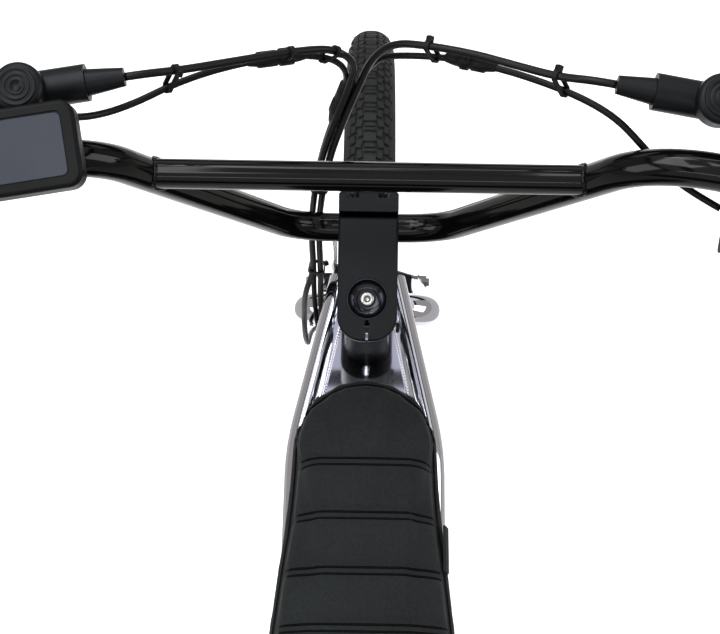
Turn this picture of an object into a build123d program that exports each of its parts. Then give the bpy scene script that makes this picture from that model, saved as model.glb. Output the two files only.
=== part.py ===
from build123d import *
from math import atan2, cos, degrees, pi, radians, sin, sqrt, tan
import os

# Electric bike with a high-rise bar, twin chromed top tubes and a long bench seat, in millimetres.
# +X is forward, +Y is the rider's left, +Z is up. The ground is z = 0, the wheel axles are at y = 0.
os.makedirs("parts", exist_ok=True)

# Driving dimensions
wheelbase = 1090.0
wheel_radius = 303.0
tyre_width = 56.0
rim_bead_radius = wheel_radius - 50.0
rim_width = 37.0
crown_flats = 6
head_angle = 69.3
fork_rake = 49.0

# Running clearances
seat_gap = 0.3
bore_fit = 0.1

# Frame tubes
rail_radius = 11.0
rail_front_y = 21.5
rail_seat_y = 54.3
rail_bend_radius = 220.0
rail_head_z = wheel_radius + 419.0
rail_slope = 0.03
head_tube_radius = 22.0
cup_radius = 25.0
down_tube_radius = 27.0
seat_tube_radius = 17.0
chain_stay_radius = 8.5
seat_stay_radius = 9.5
gusset_thickness = 4.0

# Motor, cranks and chain
motor_half_width = 42.0
motor_radius = 62.0
crank_length = 165.0
spindle_radius = 11.0
chain_line = 50.0
chain_pitch = 12.7
chainring_teeth = 44
sprocket_teeth = 18
tooth_thickness = 2.8
chain_width = 8.0

# Hubs
front_hub_width = 110.0
rear_hub_width = 130.0
dropout_thickness = 6.0
axle_radius = 4.9
rotor_radius = 80.0
rotor_thickness = 2.0
front_rotor_y = 41.0
rear_rotor_y = 52.0
spoke_radius = 1.1
spoke_count = 32

# Steering column, measured up the steering axis from the foot of the rake
crown_z = wheel_radius + 89.0
fork_leg_radius = 15.0
fork_leg_y = 54.0
fork_tip_radius = 10.0
steerer_radius = 14.3
stem_low = crown_z + 160.0
stem_high = stem_low + 36.0
stem_width = 45.5
stem_rear = 32.0
cap_radius = 15.7
cap_recess = 7.0
bar_reach = 56.0
bar_radius = 11.1
bar_rise = 229.0
bar_sweep_angle = 10.0
bar_width = 740.0
crossbar_rise = 175.0
crossbar_radius = 9.5
grip_radius = 16.0
grip_length = 124.0

# Seat
seat_thickness = 40.0
seat_pan_thickness = 7.0
seat_edge_radius = 13.0

# Stand
stand_leg_radius = 9.0
stand_foot_y = 140.0
stand_lean = 12.0

front_axle_x = wheelbase / 2
rear_axle_x = -wheelbase / 2
crank_x = rear_axle_x + wheel_radius + 182
crank_z = wheel_radius - 8
stand_x = crank_x - 140
stand_z = crank_z - 110
head_tube_low = crown_z + 29
head_tube_high = crown_z + 98
cup_low = head_tube_low - 12.7
cup_high = head_tube_high + 5
bar_centre_z = (stem_low + stem_high) / 2

head_sin, head_cos = sin(radians(head_angle)), cos(radians(head_angle))
steer = Plane(
    origin=(front_axle_x - fork_rake * head_sin, 0, wheel_radius - fork_rake * head_cos),
    x_dir=(head_sin, 0, head_cos),
    z_dir=(-head_cos, 0, head_sin),
)
front_wheel_place = Location((front_axle_x, 0, wheel_radius))
rear_wheel_place = Location((rear_axle_x, 0, wheel_radius))
sides = (("left", 1), ("right", -1))

# Places along the top tubes, from the head tube and from the rear axle
head_x = steer.origin.X - (rail_head_z - steer.origin.Z) * head_cos / head_sin
rail_front_x = head_x + 24
rail_bend_x = head_x - 125.3
rail_tail_x = rear_axle_x + 130


def save(name, solid):
    # One STEP file for each piece.
    solid.label = name
    export_step(solid, f"parts/{name}.step")


def rail_z(x):
    # Height of the top tubes' centreline.
    return rail_head_z + rail_slope * (x - steer_x(rail_head_z))


def steer_x(z):
    # Where the steering axis is at a height.
    return steer.origin.X - (z - steer.origin.Z) * head_cos / head_sin


def along(start, end):
    # Plane at start that looks towards end.
    return Plane(origin=start, z_dir=Vector(*end) - Vector(*start))


def side_plane(y):
    # Plane with x forward and its local y up, at a distance to the left, facing right.
    return Plane(origin=(0, y, 0), x_dir=(1, 0, 0), z_dir=(0, -1, 0))


# Steered pieces, modelled in the steering frame: z is up the steering axis, x is forward of it

crown_sleeve_radius = 19.0
fork_bend = 27.0
leg_foot = (44.0, 58.0, 24.0)
leg_knee_z = 300.0

with BuildPart() as fork:
    with BuildSketch(Plane.XY.offset(crown_z - 22)):
        Circle(crown_sleeve_radius)
    extrude(amount=cup_low - seat_gap - crown_z + 22)
    with BuildSketch(Plane.XY.offset(crown_z)):
        Circle(steerer_radius)
    extrude(amount=stem_high - cap_recess - seat_gap - crown_z)
    for name, side in sides:
        knee = Vector(0, side * fork_leg_y, leg_knee_z)
        foot = Vector(leg_foot[0], side * leg_foot[1], leg_foot[2])
        taper_start = knee + (foot - knee).normalized() * 60
        with BuildLine() as leg_path:
            FilletPolyline(
                (0, side * 6, crown_z),
                (0, side * fork_leg_y, crown_z),
                knee,
                taper_start,
                radius=[fork_bend, 300],
            )
        with BuildSketch(Plane(origin=leg_path.line @ 0, z_dir=leg_path.line % 0)):
            Circle(fork_leg_radius)
        sweep(path=leg_path.line)
        with BuildSketch(along(taper_start, foot)):
            Circle(fork_leg_radius)
        with BuildSketch(Plane(origin=foot, z_dir=foot - taper_start)):
            Circle(fork_tip_radius)
        loft()
        inner = front_hub_width / 2
        with BuildSketch(side_plane(side * inner)):
            with Locations((fork_rake, 0)):
                Circle(17)
            with Locations((leg_foot[0] - 1, leg_foot[2] + 8)):
                Circle(13)
            make_hull()
            with Locations((fork_rake, 0)):
                Circle(axle_radius + bore_fit, mode=Mode.SUBTRACT)
        extrude(amount=-side * dropout_thickness)
        with BuildSketch(side_plane(side * inner)):
            with Locations((leg_foot[0], leg_foot[2])):
                Circle(22)
            with Locations((fork_rake, 0)):
                Circle(30)
            make_hull()
        extrude(amount=side * 12, mode=Mode.SUBTRACT)
save("fork", fork.part.moved(steer.location))

spacer_radius = 19.5
with BuildPart() as headset_spacer:
    with BuildSketch(Plane.XZ):
        with BuildLine():
            Polyline(
                (steerer_radius + bore_fit, cup_high + seat_gap),
                (cup_radius - 1, cup_high + seat_gap),
                (cup_radius - 1, cup_high + 4),
                (spacer_radius, cup_high + 14),
                (spacer_radius, stem_low),
                (steerer_radius + bore_fit, stem_low),
                close=True,
            )
        make_face()
    revolve(axis=Axis.Z)
save("headset_spacer", headset_spacer.part.moved(steer.location))

stem_split = (bar_reach + 6, bar_reach + 10.5)
faceplate_front = bar_reach + 26

with BuildPart() as stem:
    with BuildSketch(Plane.XY.offset(stem_low)):
        with Locations(((stem_split[0] - stem_rear) / 2, 0)):
            Rectangle(stem_split[0] + stem_rear, stem_width)
    extrude(amount=stem_high - stem_low)
    fillet(stem.edges().filter_by(Axis.Z).group_by(Axis.X)[0], radius=19)
    chamfer(stem.faces().sort_by(Axis.Z)[-1].edges(), length=1.5)
    with BuildSketch(Plane.XY.offset(stem_low)):
        Circle(steerer_radius + bore_fit)
    extrude(amount=stem_high - stem_low, mode=Mode.SUBTRACT)
    with BuildSketch(Plane.XY.offset(stem_high - cap_recess)):
        Circle(cap_radius + seat_gap)
    extrude(amount=cap_recess, mode=Mode.SUBTRACT)
    with BuildSketch(Plane.XY.offset(stem_low)):
        with Locations((-stem_rear / 2 - 7, 0)):
            Rectangle(stem_rear - 7, 2)
        with Locations((-21, 0)):
            Rectangle(8, 4)
    extrude(amount=stem_high - stem_low, mode=Mode.SUBTRACT)
    with BuildSketch(side_plane(stem_width)):
        with Locations((bar_reach, bar_centre_z)):
            Circle(bar_radius + bore_fit)
    extrude(amount=2 * stem_width, mode=Mode.SUBTRACT)
save("stem", stem.part.moved(steer.location))

with BuildPart() as stem_faceplate:
    with BuildSketch(Plane.XY.offset(stem_low)):
        with Locations(((stem_split[1] + faceplate_front) / 2, 0)):
            Rectangle(faceplate_front - stem_split[1], stem_width)
    extrude(amount=stem_high - stem_low)
    chamfer(stem_faceplate.faces().sort_by(Axis.X)[-1].edges(), length=2)
    with BuildSketch(side_plane(stem_width)):
        with Locations((bar_reach, bar_centre_z)):
            Circle(bar_radius + bore_fit)
    extrude(amount=2 * stem_width, mode=Mode.SUBTRACT)
    with BuildSketch(Plane(origin=(faceplate_front, 0, bar_centre_z), z_dir=(1, 0, 0))):
        with GridLocations(32, 24, 2, 2):
            Circle(5)
    extrude(amount=-5, mode=Mode.SUBTRACT)
save("stem_faceplate", stem_faceplate.part.moved(steer.location))

with BuildPart() as top_cap:
    with BuildSketch(Plane.XZ):
        with BuildLine():
            Line((0, stem_high - cap_recess), (cap_radius, stem_high - cap_recess))
            Line((cap_radius, stem_high - cap_recess), (cap_radius, stem_high - 0.5))
            Line((cap_radius, stem_high - 0.5), (cap_radius - 1, stem_high - 0.5))
            ThreePointArc(
                (cap_radius - 1, stem_high - 0.5), (9.5, stem_high - 4.6), (5.6, stem_high - 5.2)
            )
            Polyline(
                (5.6, stem_high - 5.2),
                (5.2, stem_high - 0.8),
                (2.4, stem_high - 0.8),
                (2.2, stem_high - 4),
                (0, stem_high - 4),
                (0, stem_high - cap_recess),
            )
        make_face()
    revolve(axis=Axis.Z)
save("top_cap", top_cap.part.moved(steer.location))

# The bar rises 4.5 degrees forward of the steering axis, and its ends sweep back
bar_lower_y = 56.0
bar_end_run = 203.0
bar_upper_y = bar_width / 2 - bar_end_run
bar_forward = 18.0
bar_bends = (45.0, 60.0)
bar_upsweep = 0.02
sweep_back = tan(radians(bar_sweep_angle))
bar_top = Vector(bar_reach + bar_forward, bar_upper_y, bar_centre_z + bar_rise)
bar_out = Vector(-sweep_back, 1, bar_upsweep)
bar_end = bar_top + bar_out * (bar_width / 2 - bar_upper_y)


def mirror_y(point, side):
    # The same point on either side of the bike.
    return Vector(point.X, point.Y * side, point.Z)


def bar_point(distance, side):
    # Point on the bar's end, measured outwards from the upper bend's corner.
    return mirror_y(bar_top + bar_out.normalized() * distance, side)


def bar_plane(distance, side):
    # Plane across the bar's end: local z points outwards, local x forward.
    out = mirror_y(bar_out, side)
    return Plane(origin=bar_point(distance, side), x_dir=(1, sweep_back * side, 0), z_dir=out)


with BuildPart() as handlebar:
    with BuildLine() as bar_path:
        FilletPolyline(
            mirror_y(bar_end, -1),
            mirror_y(bar_top, -1),
            (bar_reach, -bar_lower_y, bar_centre_z),
            (bar_reach, bar_lower_y, bar_centre_z),
            bar_top,
            bar_end,
            radius=[bar_bends[1], bar_bends[0], bar_bends[0], bar_bends[1]],
        )
    with BuildSketch(Plane(origin=bar_path.line @ 0, z_dir=bar_path.line % 0)):
        Circle(bar_radius)
    sweep(path=bar_path.line)
    crossbar_y = bar_lower_y + (bar_upper_y - bar_lower_y) * crossbar_rise / bar_rise
    crossbar_x = bar_reach + bar_forward * crossbar_rise / bar_rise
    with BuildSketch(Plane(origin=(crossbar_x, -crossbar_y, bar_centre_z + crossbar_rise), z_dir=(0, 1, 0))):
        Circle(crossbar_radius)
    extrude(amount=2 * crossbar_y)
save("handlebar", handlebar.part.moved(steer.location))

# Distances along the bar's end, from the upper bend's corner, with the controls inside the grips
bar_end_distance = (bar_end - bar_top).length
grip_inner = bar_end_distance - grip_length
lever_clamp = grip_inner - 38
lever_clamp_width = 14.0
lever_forward = 40.0
lever_body_radius = 11.0
lever_body_reach = (grip_inner - 90, grip_inner - 8)
boot_length = 22.0
reservoir_radius = 15.0
blade_height = 13.0
blade_setback = 7.0
blade_root_radius = 6.5
blade_pin_radius = 2.5
ear_thickness = 3.0
blade_length = 118.0

for name, side in sides:
    with BuildPart() as grip:
        with BuildSketch(bar_plane(grip_inner, side)):
            Circle(grip_radius)
        extrude(amount=grip_length + 3)
        with BuildSketch(bar_plane(grip_inner, side)):
            Circle(bar_radius + bore_fit)
        extrude(amount=grip_length, mode=Mode.SUBTRACT)
        with BuildSketch(bar_plane(grip_inner, side)):
            Circle(grip_radius + 3)
            Circle(grip_radius - 1, mode=Mode.SUBTRACT)
        extrude(amount=4)
    save(f"{name}_grip", grip.part.moved(steer.location))

    with BuildPart() as lever_body:
        with BuildSketch(bar_plane(lever_clamp, side)):
            Circle(bar_radius + 6)
            with Locations((lever_forward / 2, 0)):
                Rectangle(lever_forward, 14)
            Circle(bar_radius + bore_fit, mode=Mode.SUBTRACT)
        extrude(amount=lever_clamp_width)
        with BuildSketch(bar_plane(lever_body_reach[0], side)):
            with Locations((lever_forward, 0)):
                Circle(lever_body_radius)
        extrude(amount=lever_body_reach[1] - lever_body_reach[0])
        with BuildSketch(bar_plane(lever_body_reach[0] - boot_length, side)):
            with Locations((lever_forward, 0)):
                Circle(5.5)
        with BuildSketch(bar_plane(lever_body_reach[0], side)):
            with Locations((lever_forward, 0)):
                Circle(8)
        loft()
        top_point = bar_point(lever_clamp - 8, side) + Vector(lever_forward, 0, 4)
        with BuildSketch(Plane(origin=top_point, z_dir=(0, 0, 1))):
            Circle(reservoir_radius)
        extrude(amount=14)
        fillet(lever_body.faces().sort_by(Axis.Z)[-1].edges(), radius=4)
        blade = bar_plane(0, side)
        root = blade.from_local_coords((lever_forward, 0, lever_body_reach[1] - 6))
        pivot = blade.from_local_coords((lever_forward + 6, 0, lever_body_reach[1] + blade_setback))
        for ear_z in (pivot.Z - blade_height / 2 - seat_gap - ear_thickness, pivot.Z + blade_height / 2 + seat_gap):
            with BuildSketch(Plane.XY.offset(ear_z)):
                with Locations((root.X, root.Y)):
                    Circle(9)
                with Locations((pivot.X, pivot.Y)):
                    Circle(blade_root_radius)
                make_hull()
            extrude(amount=ear_thickness)
        with BuildSketch(Plane.XY.offset(pivot.Z - blade_height / 2 - 1)):
            with Locations((pivot.X, pivot.Y)):
                Circle(blade_pin_radius)
        extrude(amount=blade_height + 2)
    save(f"{name}_brake_lever", lever_body.part.moved(steer.location))

    with BuildPart() as lever_blade:
        points = [
            blade.from_local_coords((lever_forward + along_x, 0, lever_body_reach[1] + along_z))
            for along_x, along_z in ((6, blade_setback), (26, 24), (22, 70), (14, blade_length))
        ]
        with BuildLine() as blade_path:
            FilletPolyline(*points, radius=[14, 90])
        with BuildSketch(Plane(origin=blade_path.line @ 0, x_dir=(0, 0, 1), z_dir=blade_path.line % 0)):
            RectangleRounded(blade_height, 7, 3)
        sweep(path=blade_path.line)
        with BuildSketch(Plane.XY.offset(pivot.Z - blade_height / 2)):
            with Locations((pivot.X, pivot.Y)):
                Circle(blade_root_radius)
        extrude(amount=blade_height)
        with BuildSketch(Plane.XY.offset(pivot.Z - blade_height)):
            with Locations((pivot.X, pivot.Y)):
                Circle(blade_pin_radius + bore_fit)
        extrude(amount=2 * blade_height, mode=Mode.SUBTRACT)
    save(f"{name}_lever_blade", lever_blade.part.moved(steer.location))

display_length = 86.0
display_depth = 50.0
display_thickness = 13.0
display_along = grip_inner - 43
display_lift = 20.5
display_clamp = (grip_inner - 22, 10.0)

with BuildPart() as display:
    place = bar_plane(display_along, 1)
    out = mirror_y(bar_out, 1).normalized()
    origin = bar_point(display_along, 1) + Vector(0, 0, display_lift)
    face = Plane(origin=origin, x_dir=out, z_dir=(out.cross(Vector(1, 0, 0))) * -1)
    with BuildSketch(face):
        RectangleRounded(display_length, display_depth, 9)
    extrude(amount=display_thickness)
    fillet(display.faces().sort_by(Axis.Z)[-1].edges(), radius=2.5)
    with BuildSketch(face.offset(display_thickness - 1)):
        RectangleRounded(display_length - 14, display_depth - 12, 4)
    extrude(amount=2, mode=Mode.SUBTRACT)
    with BuildSketch(bar_plane(display_clamp[0], 1)):
        Circle(bar_radius + 4)
        with Locations((0, -display_lift / 2 - 1)):
            Rectangle(16, display_lift)
        Circle(bar_radius + bore_fit, mode=Mode.SUBTRACT)
    extrude(amount=display_clamp[1])
save("display", display.part.moved(steer.location))

shifter_along = grip_inner - 20

with BuildPart() as shifter:
    with BuildSketch(bar_plane(shifter_along, -1)):
        Circle(bar_radius + 5)
        with Locations((-16, -10)):
            RectangleRounded(26, 22, 6)
        Circle(bar_radius + bore_fit, mode=Mode.SUBTRACT)
    extrude(amount=11)
    lever_plane = bar_plane(shifter_along - 12, -1)
    with BuildSketch(lever_plane):
        with Locations((-33, -16)):
            RectangleRounded(22, 9, 4)
    extrude(amount=32)
save("shifter", shifter.part.moved(steer.location))

# Front axle with its two flanged nuts, at the fork ends
nut_flats = 15.5
nut_height = 9.0
flange_radius = 9.5
axle_stub = 3.5

fork_outer = front_hub_width / 2 + dropout_thickness
with BuildPart() as front_axle:
    axle_end = fork_outer + 2.5 + nut_height + axle_stub
    with BuildSketch(Plane(origin=(fork_rake, -axle_end, 0), z_dir=(0, 1, 0))):
        Circle(axle_radius)
    extrude(amount=2 * axle_end)
    for name, side in sides:
        with BuildSketch(Plane(origin=(fork_rake, side * fork_outer, 0), z_dir=(0, side, 0))):
            Circle(flange_radius)
        extrude(amount=2.5)
        with BuildSketch(Plane(origin=(fork_rake, side * (fork_outer + 2.5), 0), z_dir=(0, side, 0))):
            RegularPolygon(nut_flats / 2, 6, major_radius=False)
        extrude(amount=nut_height)
save("front_axle", front_axle.part.moved(steer.location))


lug_out = 6.0
lug_half = 29.0


def caliper(plane, fork_side, lug_face=0):
    # Brake caliper round the rotor's edge: a block with a slot, local z is the wheel's axis.
    with BuildPart() as body:
        with BuildSketch(plane.offset(-9)):
            RectangleRounded(36, 46, 8)
        extrude(amount=20)
        with BuildSketch(plane.offset(-rotor_thickness / 2 - 1.2)):
            with Locations((fork_side * 14, 0)):
                Rectangle(46, 60)
        extrude(amount=rotor_thickness + 2.4, mode=Mode.SUBTRACT)
        with BuildSketch(plane.offset(-9)):
            with Locations((-2, 0)):
                Circle(11)
        extrude(amount=-3)
        if lug_face:
            with BuildSketch(plane.offset(4)):
                with Locations(Location((-lug_out, 0), 90)):
                    SlotCenterToCenter(2 * lug_half, 14)
            extrude(amount=lug_face - 4)
    return body.part


caliper_reach = rotor_radius + 2.0
front_caliper_angle = 118.0
front_caliper_place = Plane(
    origin=(
        fork_rake + caliper_reach * cos(radians(front_caliper_angle)),
        front_rotor_y,
        caliper_reach * sin(radians(front_caliper_angle)),
    ),
    x_dir=(-cos(radians(front_caliper_angle)), 0, -sin(radians(front_caliper_angle))),
    z_dir=(0, 1, 0),
)
front_caliper = caliper(front_caliper_place, 1) - fork.part
save("front_caliper", front_caliper.solids().sort_by(SortBy.VOLUME)[-1].moved(steer.location))

# Hoses and cables, each a list of points in the steering frame with round bends between them
def bend_radii(points):
    # As large as the two runs at each corner allow.
    radii = []
    for before, corner, after in zip(points, points[1:], points[2:]):
        run_in, run_out = corner - before, after - corner
        turn = radians(run_in.get_angle(run_out))
        radii.append(0.45 * min(run_in.length, run_out.length) / tan(turn / 2))
    return radii


def cord(route, radius):
    # Round hose along a route; prints its section times its length beside its volume.
    points = [Vector(*point) for point in route]
    radii = bend_radii(points)
    with BuildPart() as tube:
        with BuildLine() as path:
            FilletPolyline(*points, radius=radii)
        with BuildSketch(Plane(origin=path.line @ 0, z_dir=path.line % 0)):
            Circle(radius)
        sweep(path=path.line)
    length = sum(edge.length for edge in path.line.edges())
    print("length", round(length), "volume", round(tube.part.volume), "of",
          round(pi * radius**2 * length), "radii", [round(value) for value in radii])
    return tube.part


def boot_point(side, straight):
    # Where a brake hose leaves its lever's boot, or a little further along its line.
    place = bar_plane(lever_body_reach[0] - boot_length - seat_gap - straight, side)
    return place.from_local_coords((lever_forward, 0, 0))


def trunk(forward, left):
    # The stretch that all four share, beside the stem and in front of the bar, each with its offset.
    centre_line = (
        (138, 11.5, 690),
        (119, 23, 657),
        (101, 32, 622),
        (84, 38, 583),
        (66, 42, 549),
        (47, 42.8, 518),
        (28, 42.5, 484),
    )
    return [(x + forward * 0.86, y + left, z - forward * 0.5) for x, y, z in centre_line]


hose_radius = 2.5
cable_radius = 2.2
strand = 3.0
strand_row = 5.6
caliper_top = front_caliper_place.from_local_coords((-18 - seat_gap, 0, 6.5))
caliper_lead = front_caliper_place.from_local_coords((-44, 0, 6.5))

# The port is a round grommet on the down tube's left side that looks at the hoses
port_centre = Vector(-62, 32, 415)
port_direction = Vector(-0.84, -0.29, -0.46).normalized()
port_radius = 10.0
port_plane = Plane(origin=port_centre, x_dir=Vector(0, 1, 0).cross(port_direction), z_dir=port_direction)


def port_point(lift, left, lead=0):
    # Where a hose meets the face of the port, or a little before it.
    return port_plane.from_local_coords((lift, left, -seat_gap - lead))


# Columns: forward, left, up the steering axis
front_hose_route = [
    boot_point(1, 0),
    boot_point(1, 12),
    (126, 114, 786),
    (133, 93, 774),
    (141, 68, 761),
    (148, 44, 750),
    (153, 24, 736),
    (150, 10, 714),
    *trunk(0, strand),
    (13, 53, 458),
    (3, 55.5, 434),
    (-6, 56.5, 412),
    (-19, 57, 391),
    (-29, 57, 363),
    (-32, 56.5, 328),
    (-27, 58, 282),
    (-18, 58, 230),
    (-12, 54, 175),
    caliper_lead,
    caliper_top,
]
rear_hose_route = [
    boot_point(-1, 0),
    boot_point(-1, 12),
    (126, -112, 784),
    (136, -88, 770),
    (146, -62, 758),
    (153, -36, 747),
    (158, -14, 734),
    (153, 0, 712),
    *trunk(0, -strand),
    (9, 40.5, 456),
    (-9, 40, 437),
    (-32, 37.5, 430),
    port_point(4.2, 0, 13),
    port_point(4.2, 0),
]
display_wire_route = [
    (92, 184, 818.2),
    (93, 174, 802),
    (98, 160, 788),
    (107, 142, 779),
    (120, 121, 772),
    (131, 98, 764),
    (141, 72, 751),
    (149, 44, 736),
    (150, 20, 718),
    *trunk(strand_row, strand),
    (14.5, 46.5, 452.5),
    (-5, 45.5, 431),
    (-29, 41.5, 422.5),
    port_point(-3, 3.7, 13),
    port_point(-3, 3.7),
]
shift_cable_route = [
    (50, -214, 770),
    (60, -197, 768),
    (72, -180, 770),
    (87, -165, 775),
    (102, -150, 777),
    (114, -132, 774),
    (126, -108, 766),
    (138, -80, 753),
    (147, -52, 740),
    (152, -26, 726),
    (156, -4, 705),
    *trunk(strand_row, -strand),
    (14.5, 40.5, 452.5),
    (-5, 39.5, 431),
    (-29, 37.3, 421.5),
    port_point(-3, -3.7, 13),
    port_point(-3, -3.7),
]
for name, route, radius in (
    ("front_brake_hose", front_hose_route, hose_radius),
    ("rear_brake_hose", rear_hose_route, hose_radius),
    ("display_wire", display_wire_route, cable_radius),
    ("shift_cable", shift_cable_route, cable_radius),
):
    save(name, cord(route, radius).moved(steer.location))

# Wheels, modelled about the origin with the axle along Y


def tyre_profile():
    # Ring of short flats: the crown's arc, two sidewalls and a floor on the rim's beads.
    half = tyre_width / 2
    bead = rim_bead_radius + seat_gap
    crown_y, crown_drop = half - 5, 12.0
    crown_radius = (crown_y**2 + crown_drop**2) / (2 * crown_drop)
    crown_turn = atan2(crown_y, crown_radius - crown_drop)
    points = [(bead, 15.2), (bead + 9.2, 15.6), (bead + 20, half - 0.9)]
    for step in range(crown_flats + 1):
        turn = crown_turn * (1 - 2 * step / crown_flats)
        points.append((wheel_radius - crown_radius * (1 - cos(turn)), crown_radius * sin(turn)))
    points += [(bead + 20, 0.9 - half), (bead + 9.2, -15.6), (bead, -15.2)]
    with BuildSketch(Plane.XY) as profile:
        with BuildLine():
            Polyline(*points, close=True)
        make_face()
    return profile.sketch


rim_depth = 14.0
rim_inner = rim_bead_radius - rim_depth
rim_lip = 8.5

casing = tyre_profile()
for name, place in (("front", front_wheel_place), ("rear", rear_wheel_place)):
    with BuildPart() as tyre:
        revolve(casing, axis=Axis.Y)
    save(f"{name}_tyre", tyre.part.moved(place))

    half = rim_width / 2
    with BuildPart() as rim:
        with BuildSketch(Plane.XY):
            with BuildLine():
                Polyline(
                    (rim_bead_radius + rim_lip, half),
                    (rim_bead_radius + rim_lip, half - 2.3),
                    (rim_bead_radius, half - 2.6),
                    (rim_bead_radius, half - 8),
                    (rim_bead_radius - 5, half - 11),
                    (rim_bead_radius - 5, 11 - half),
                    (rim_bead_radius, 8 - half),
                    (rim_bead_radius, 2.6 - half),
                    (rim_bead_radius + rim_lip, 2.3 - half),
                    (rim_bead_radius + rim_lip, -half),
                    (rim_inner + 8, 1 - half),
                    (rim_inner, -9),
                    (rim_inner, 9),
                    (rim_inner + 8, half - 1),
                    close=True,
                )
            make_face()
        revolve(axis=Axis.Y)
    save(f"{name}_rim", rim.part.moved(place))

# Hubs with their spokes: shell radius, flange radius, right and left flange, crossing angle, ends
front_hub = dict(shell=15.0, flange=27.0, right=-32.0, left=26.0, cross=67.5, end=front_hub_width / 2)
rear_hub = dict(shell=46.0, flange=52.0, right=-26.0, left=28.0, cross=45.0, end=rear_hub_width / 2)
flange_thickness = 3.2
spoke_end = rim_inner - seat_gap


def hub(sizes, rotor_y):
    # Shell, two flanges, rotor seat and end caps, bored for the axle, with all the spokes.
    with BuildPart() as body:
        with BuildSketch(Plane.XY):
            with BuildLine():
                left, right = sizes["left"], sizes["right"]
                shell, flange = sizes["shell"], sizes["flange"]
                end = sizes["end"] - seat_gap
                rotor_seat = rotor_y - rotor_thickness / 2 - seat_gap
                web = flange_thickness / 2
                bore = axle_radius + bore_fit
                Polyline(
                    (bore, -end),
                    (9, -end),
                    (12, right - 12),
                    (shell, right - web),
                    (flange, right - web),
                    (flange, right + web),
                    (shell, right + web),
                    (shell, left - web),
                    (flange, left - web),
                    (flange, left + web),
                    (21, left + web),
                    (21, rotor_seat),
                    (10, rotor_seat),
                    (10, end),
                    (bore, end),
                    close=True,
                )
            make_face()
        revolve(axis=Axis.Y)
        per_side = spoke_count // 2
        for side, flange_y in ((-1, right), (1, left)):
            for number in range(per_side):
                leading = 1 if number % 2 else -1
                turn = number * 360 / per_side + (0 if side < 0 else 180 / per_side)
                start = Vector(flange - 3, 0, 0).rotate(Axis.Y, turn) + Vector(0, flange_y + side * leading * 1.6, 0)
                finish = Vector(spoke_end, 0, 0).rotate(Axis.Y, turn + leading * sizes["cross"])
                finish = finish + Vector(0, side * (4 + leading * 2), 0)
                with BuildSketch(along(start, finish)):
                    RegularPolygon(spoke_radius, 6)
                extrude(amount=(finish - start).length)
    return body.part


front_hub_part = hub(front_hub, front_rotor_y)
save("front_hub", front_hub_part.moved(front_wheel_place))
rear_hub_part = hub(rear_hub, rear_rotor_y)
save("rear_hub", rear_hub_part.moved(rear_wheel_place))

rotor_band = 13.0
rotor_arms = 6
for name, rotor_y, place in (
    ("front", front_rotor_y, front_wheel_place),
    ("rear", rear_rotor_y, rear_wheel_place),
):
    with BuildPart() as rotor:
        with BuildSketch(side_plane(rotor_y + rotor_thickness / 2)):
            Circle(rotor_radius)
            Circle(rotor_radius - rotor_band, mode=Mode.SUBTRACT)
            Circle(24)
            with PolarLocations(0, rotor_arms):
                with Locations(Location((45, 0, 0), (0, 0, 24))):
                    Rectangle(60, 7)
            Circle(10 + bore_fit, mode=Mode.SUBTRACT)
            with PolarLocations(rotor_radius - rotor_band / 2, 24):
                SlotOverall(7, 3, rotation=35, mode=Mode.SUBTRACT)
        extrude(amount=rotor_thickness)
    save(f"{name}_rotor", rotor.part.moved(place))

# Frame

with BuildPart() as head_tube:
    with BuildSketch(Plane.XZ):
        with BuildLine():
            Polyline(
                (steerer_radius + bore_fit, cup_low),
                (cup_radius, cup_low),
                (cup_radius, head_tube_low - 4),
                (head_tube_radius, head_tube_low),
                (head_tube_radius, head_tube_high),
                (cup_radius, head_tube_high + 2),
                (cup_radius, cup_high),
                (steerer_radius + bore_fit, cup_high),
                (steerer_radius + bore_fit, cup_high - 9),
                (steerer_radius + 4, cup_high - 9),
                (steerer_radius + 4, cup_low + 9),
                (steerer_radius + bore_fit, cup_low + 9),
                close=True,
            )
        make_face()
    revolve(axis=Axis.Z)
head_tube_part = head_tube.part.moved(steer.location)
save("head_tube", head_tube_part)

with BuildPart() as head_core:
    with BuildSketch(steer):
        Circle(head_tube_radius)
    extrude(amount=cup_high)

rails = {}
for name, side in sides:
    with BuildPart() as rail:
        with BuildLine() as rail_path:
            FilletPolyline(
                (rail_front_x, side * rail_front_y, rail_z(rail_front_x)),
                (rail_bend_x, side * rail_seat_y, rail_z(rail_bend_x)),
                (rail_tail_x, side * rail_seat_y, rail_z(rail_tail_x)),
                radius=rail_bend_radius,
            )
        with BuildSketch(Plane(origin=rail_path.line @ 0, z_dir=rail_path.line % 0)):
            Circle(rail_radius)
        sweep(path=rail_path.line)
        add(head_core.part, mode=Mode.SUBTRACT)
    rails[name] = rail.part
    save(f"{name}_top_tube", rail.part)

rail_plane = Plane(
    origin=(0, 0, rail_z(0)), x_dir=(1, 0, rail_slope), z_dir=(-rail_slope, 0, 1)
)
# Gusset plate between the top tubes, tilted up towards the head tube
gusset_rear = head_x - 184
gusset_tilt = 0.11
gusset_plane = Plane(
    origin=(rail_bend_x, 0, rail_z(rail_bend_x)), x_dir=(1, 0, gusset_tilt), z_dir=(-gusset_tilt, 0, 1)
)
gusset_left = [
    (head_x - rail_bend_x, rail_front_y),
    (0, rail_seat_y),
    (gusset_rear - rail_bend_x, rail_seat_y),
]
gusset_right = [(x, -y) for x, y in reversed(gusset_left)]

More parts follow.
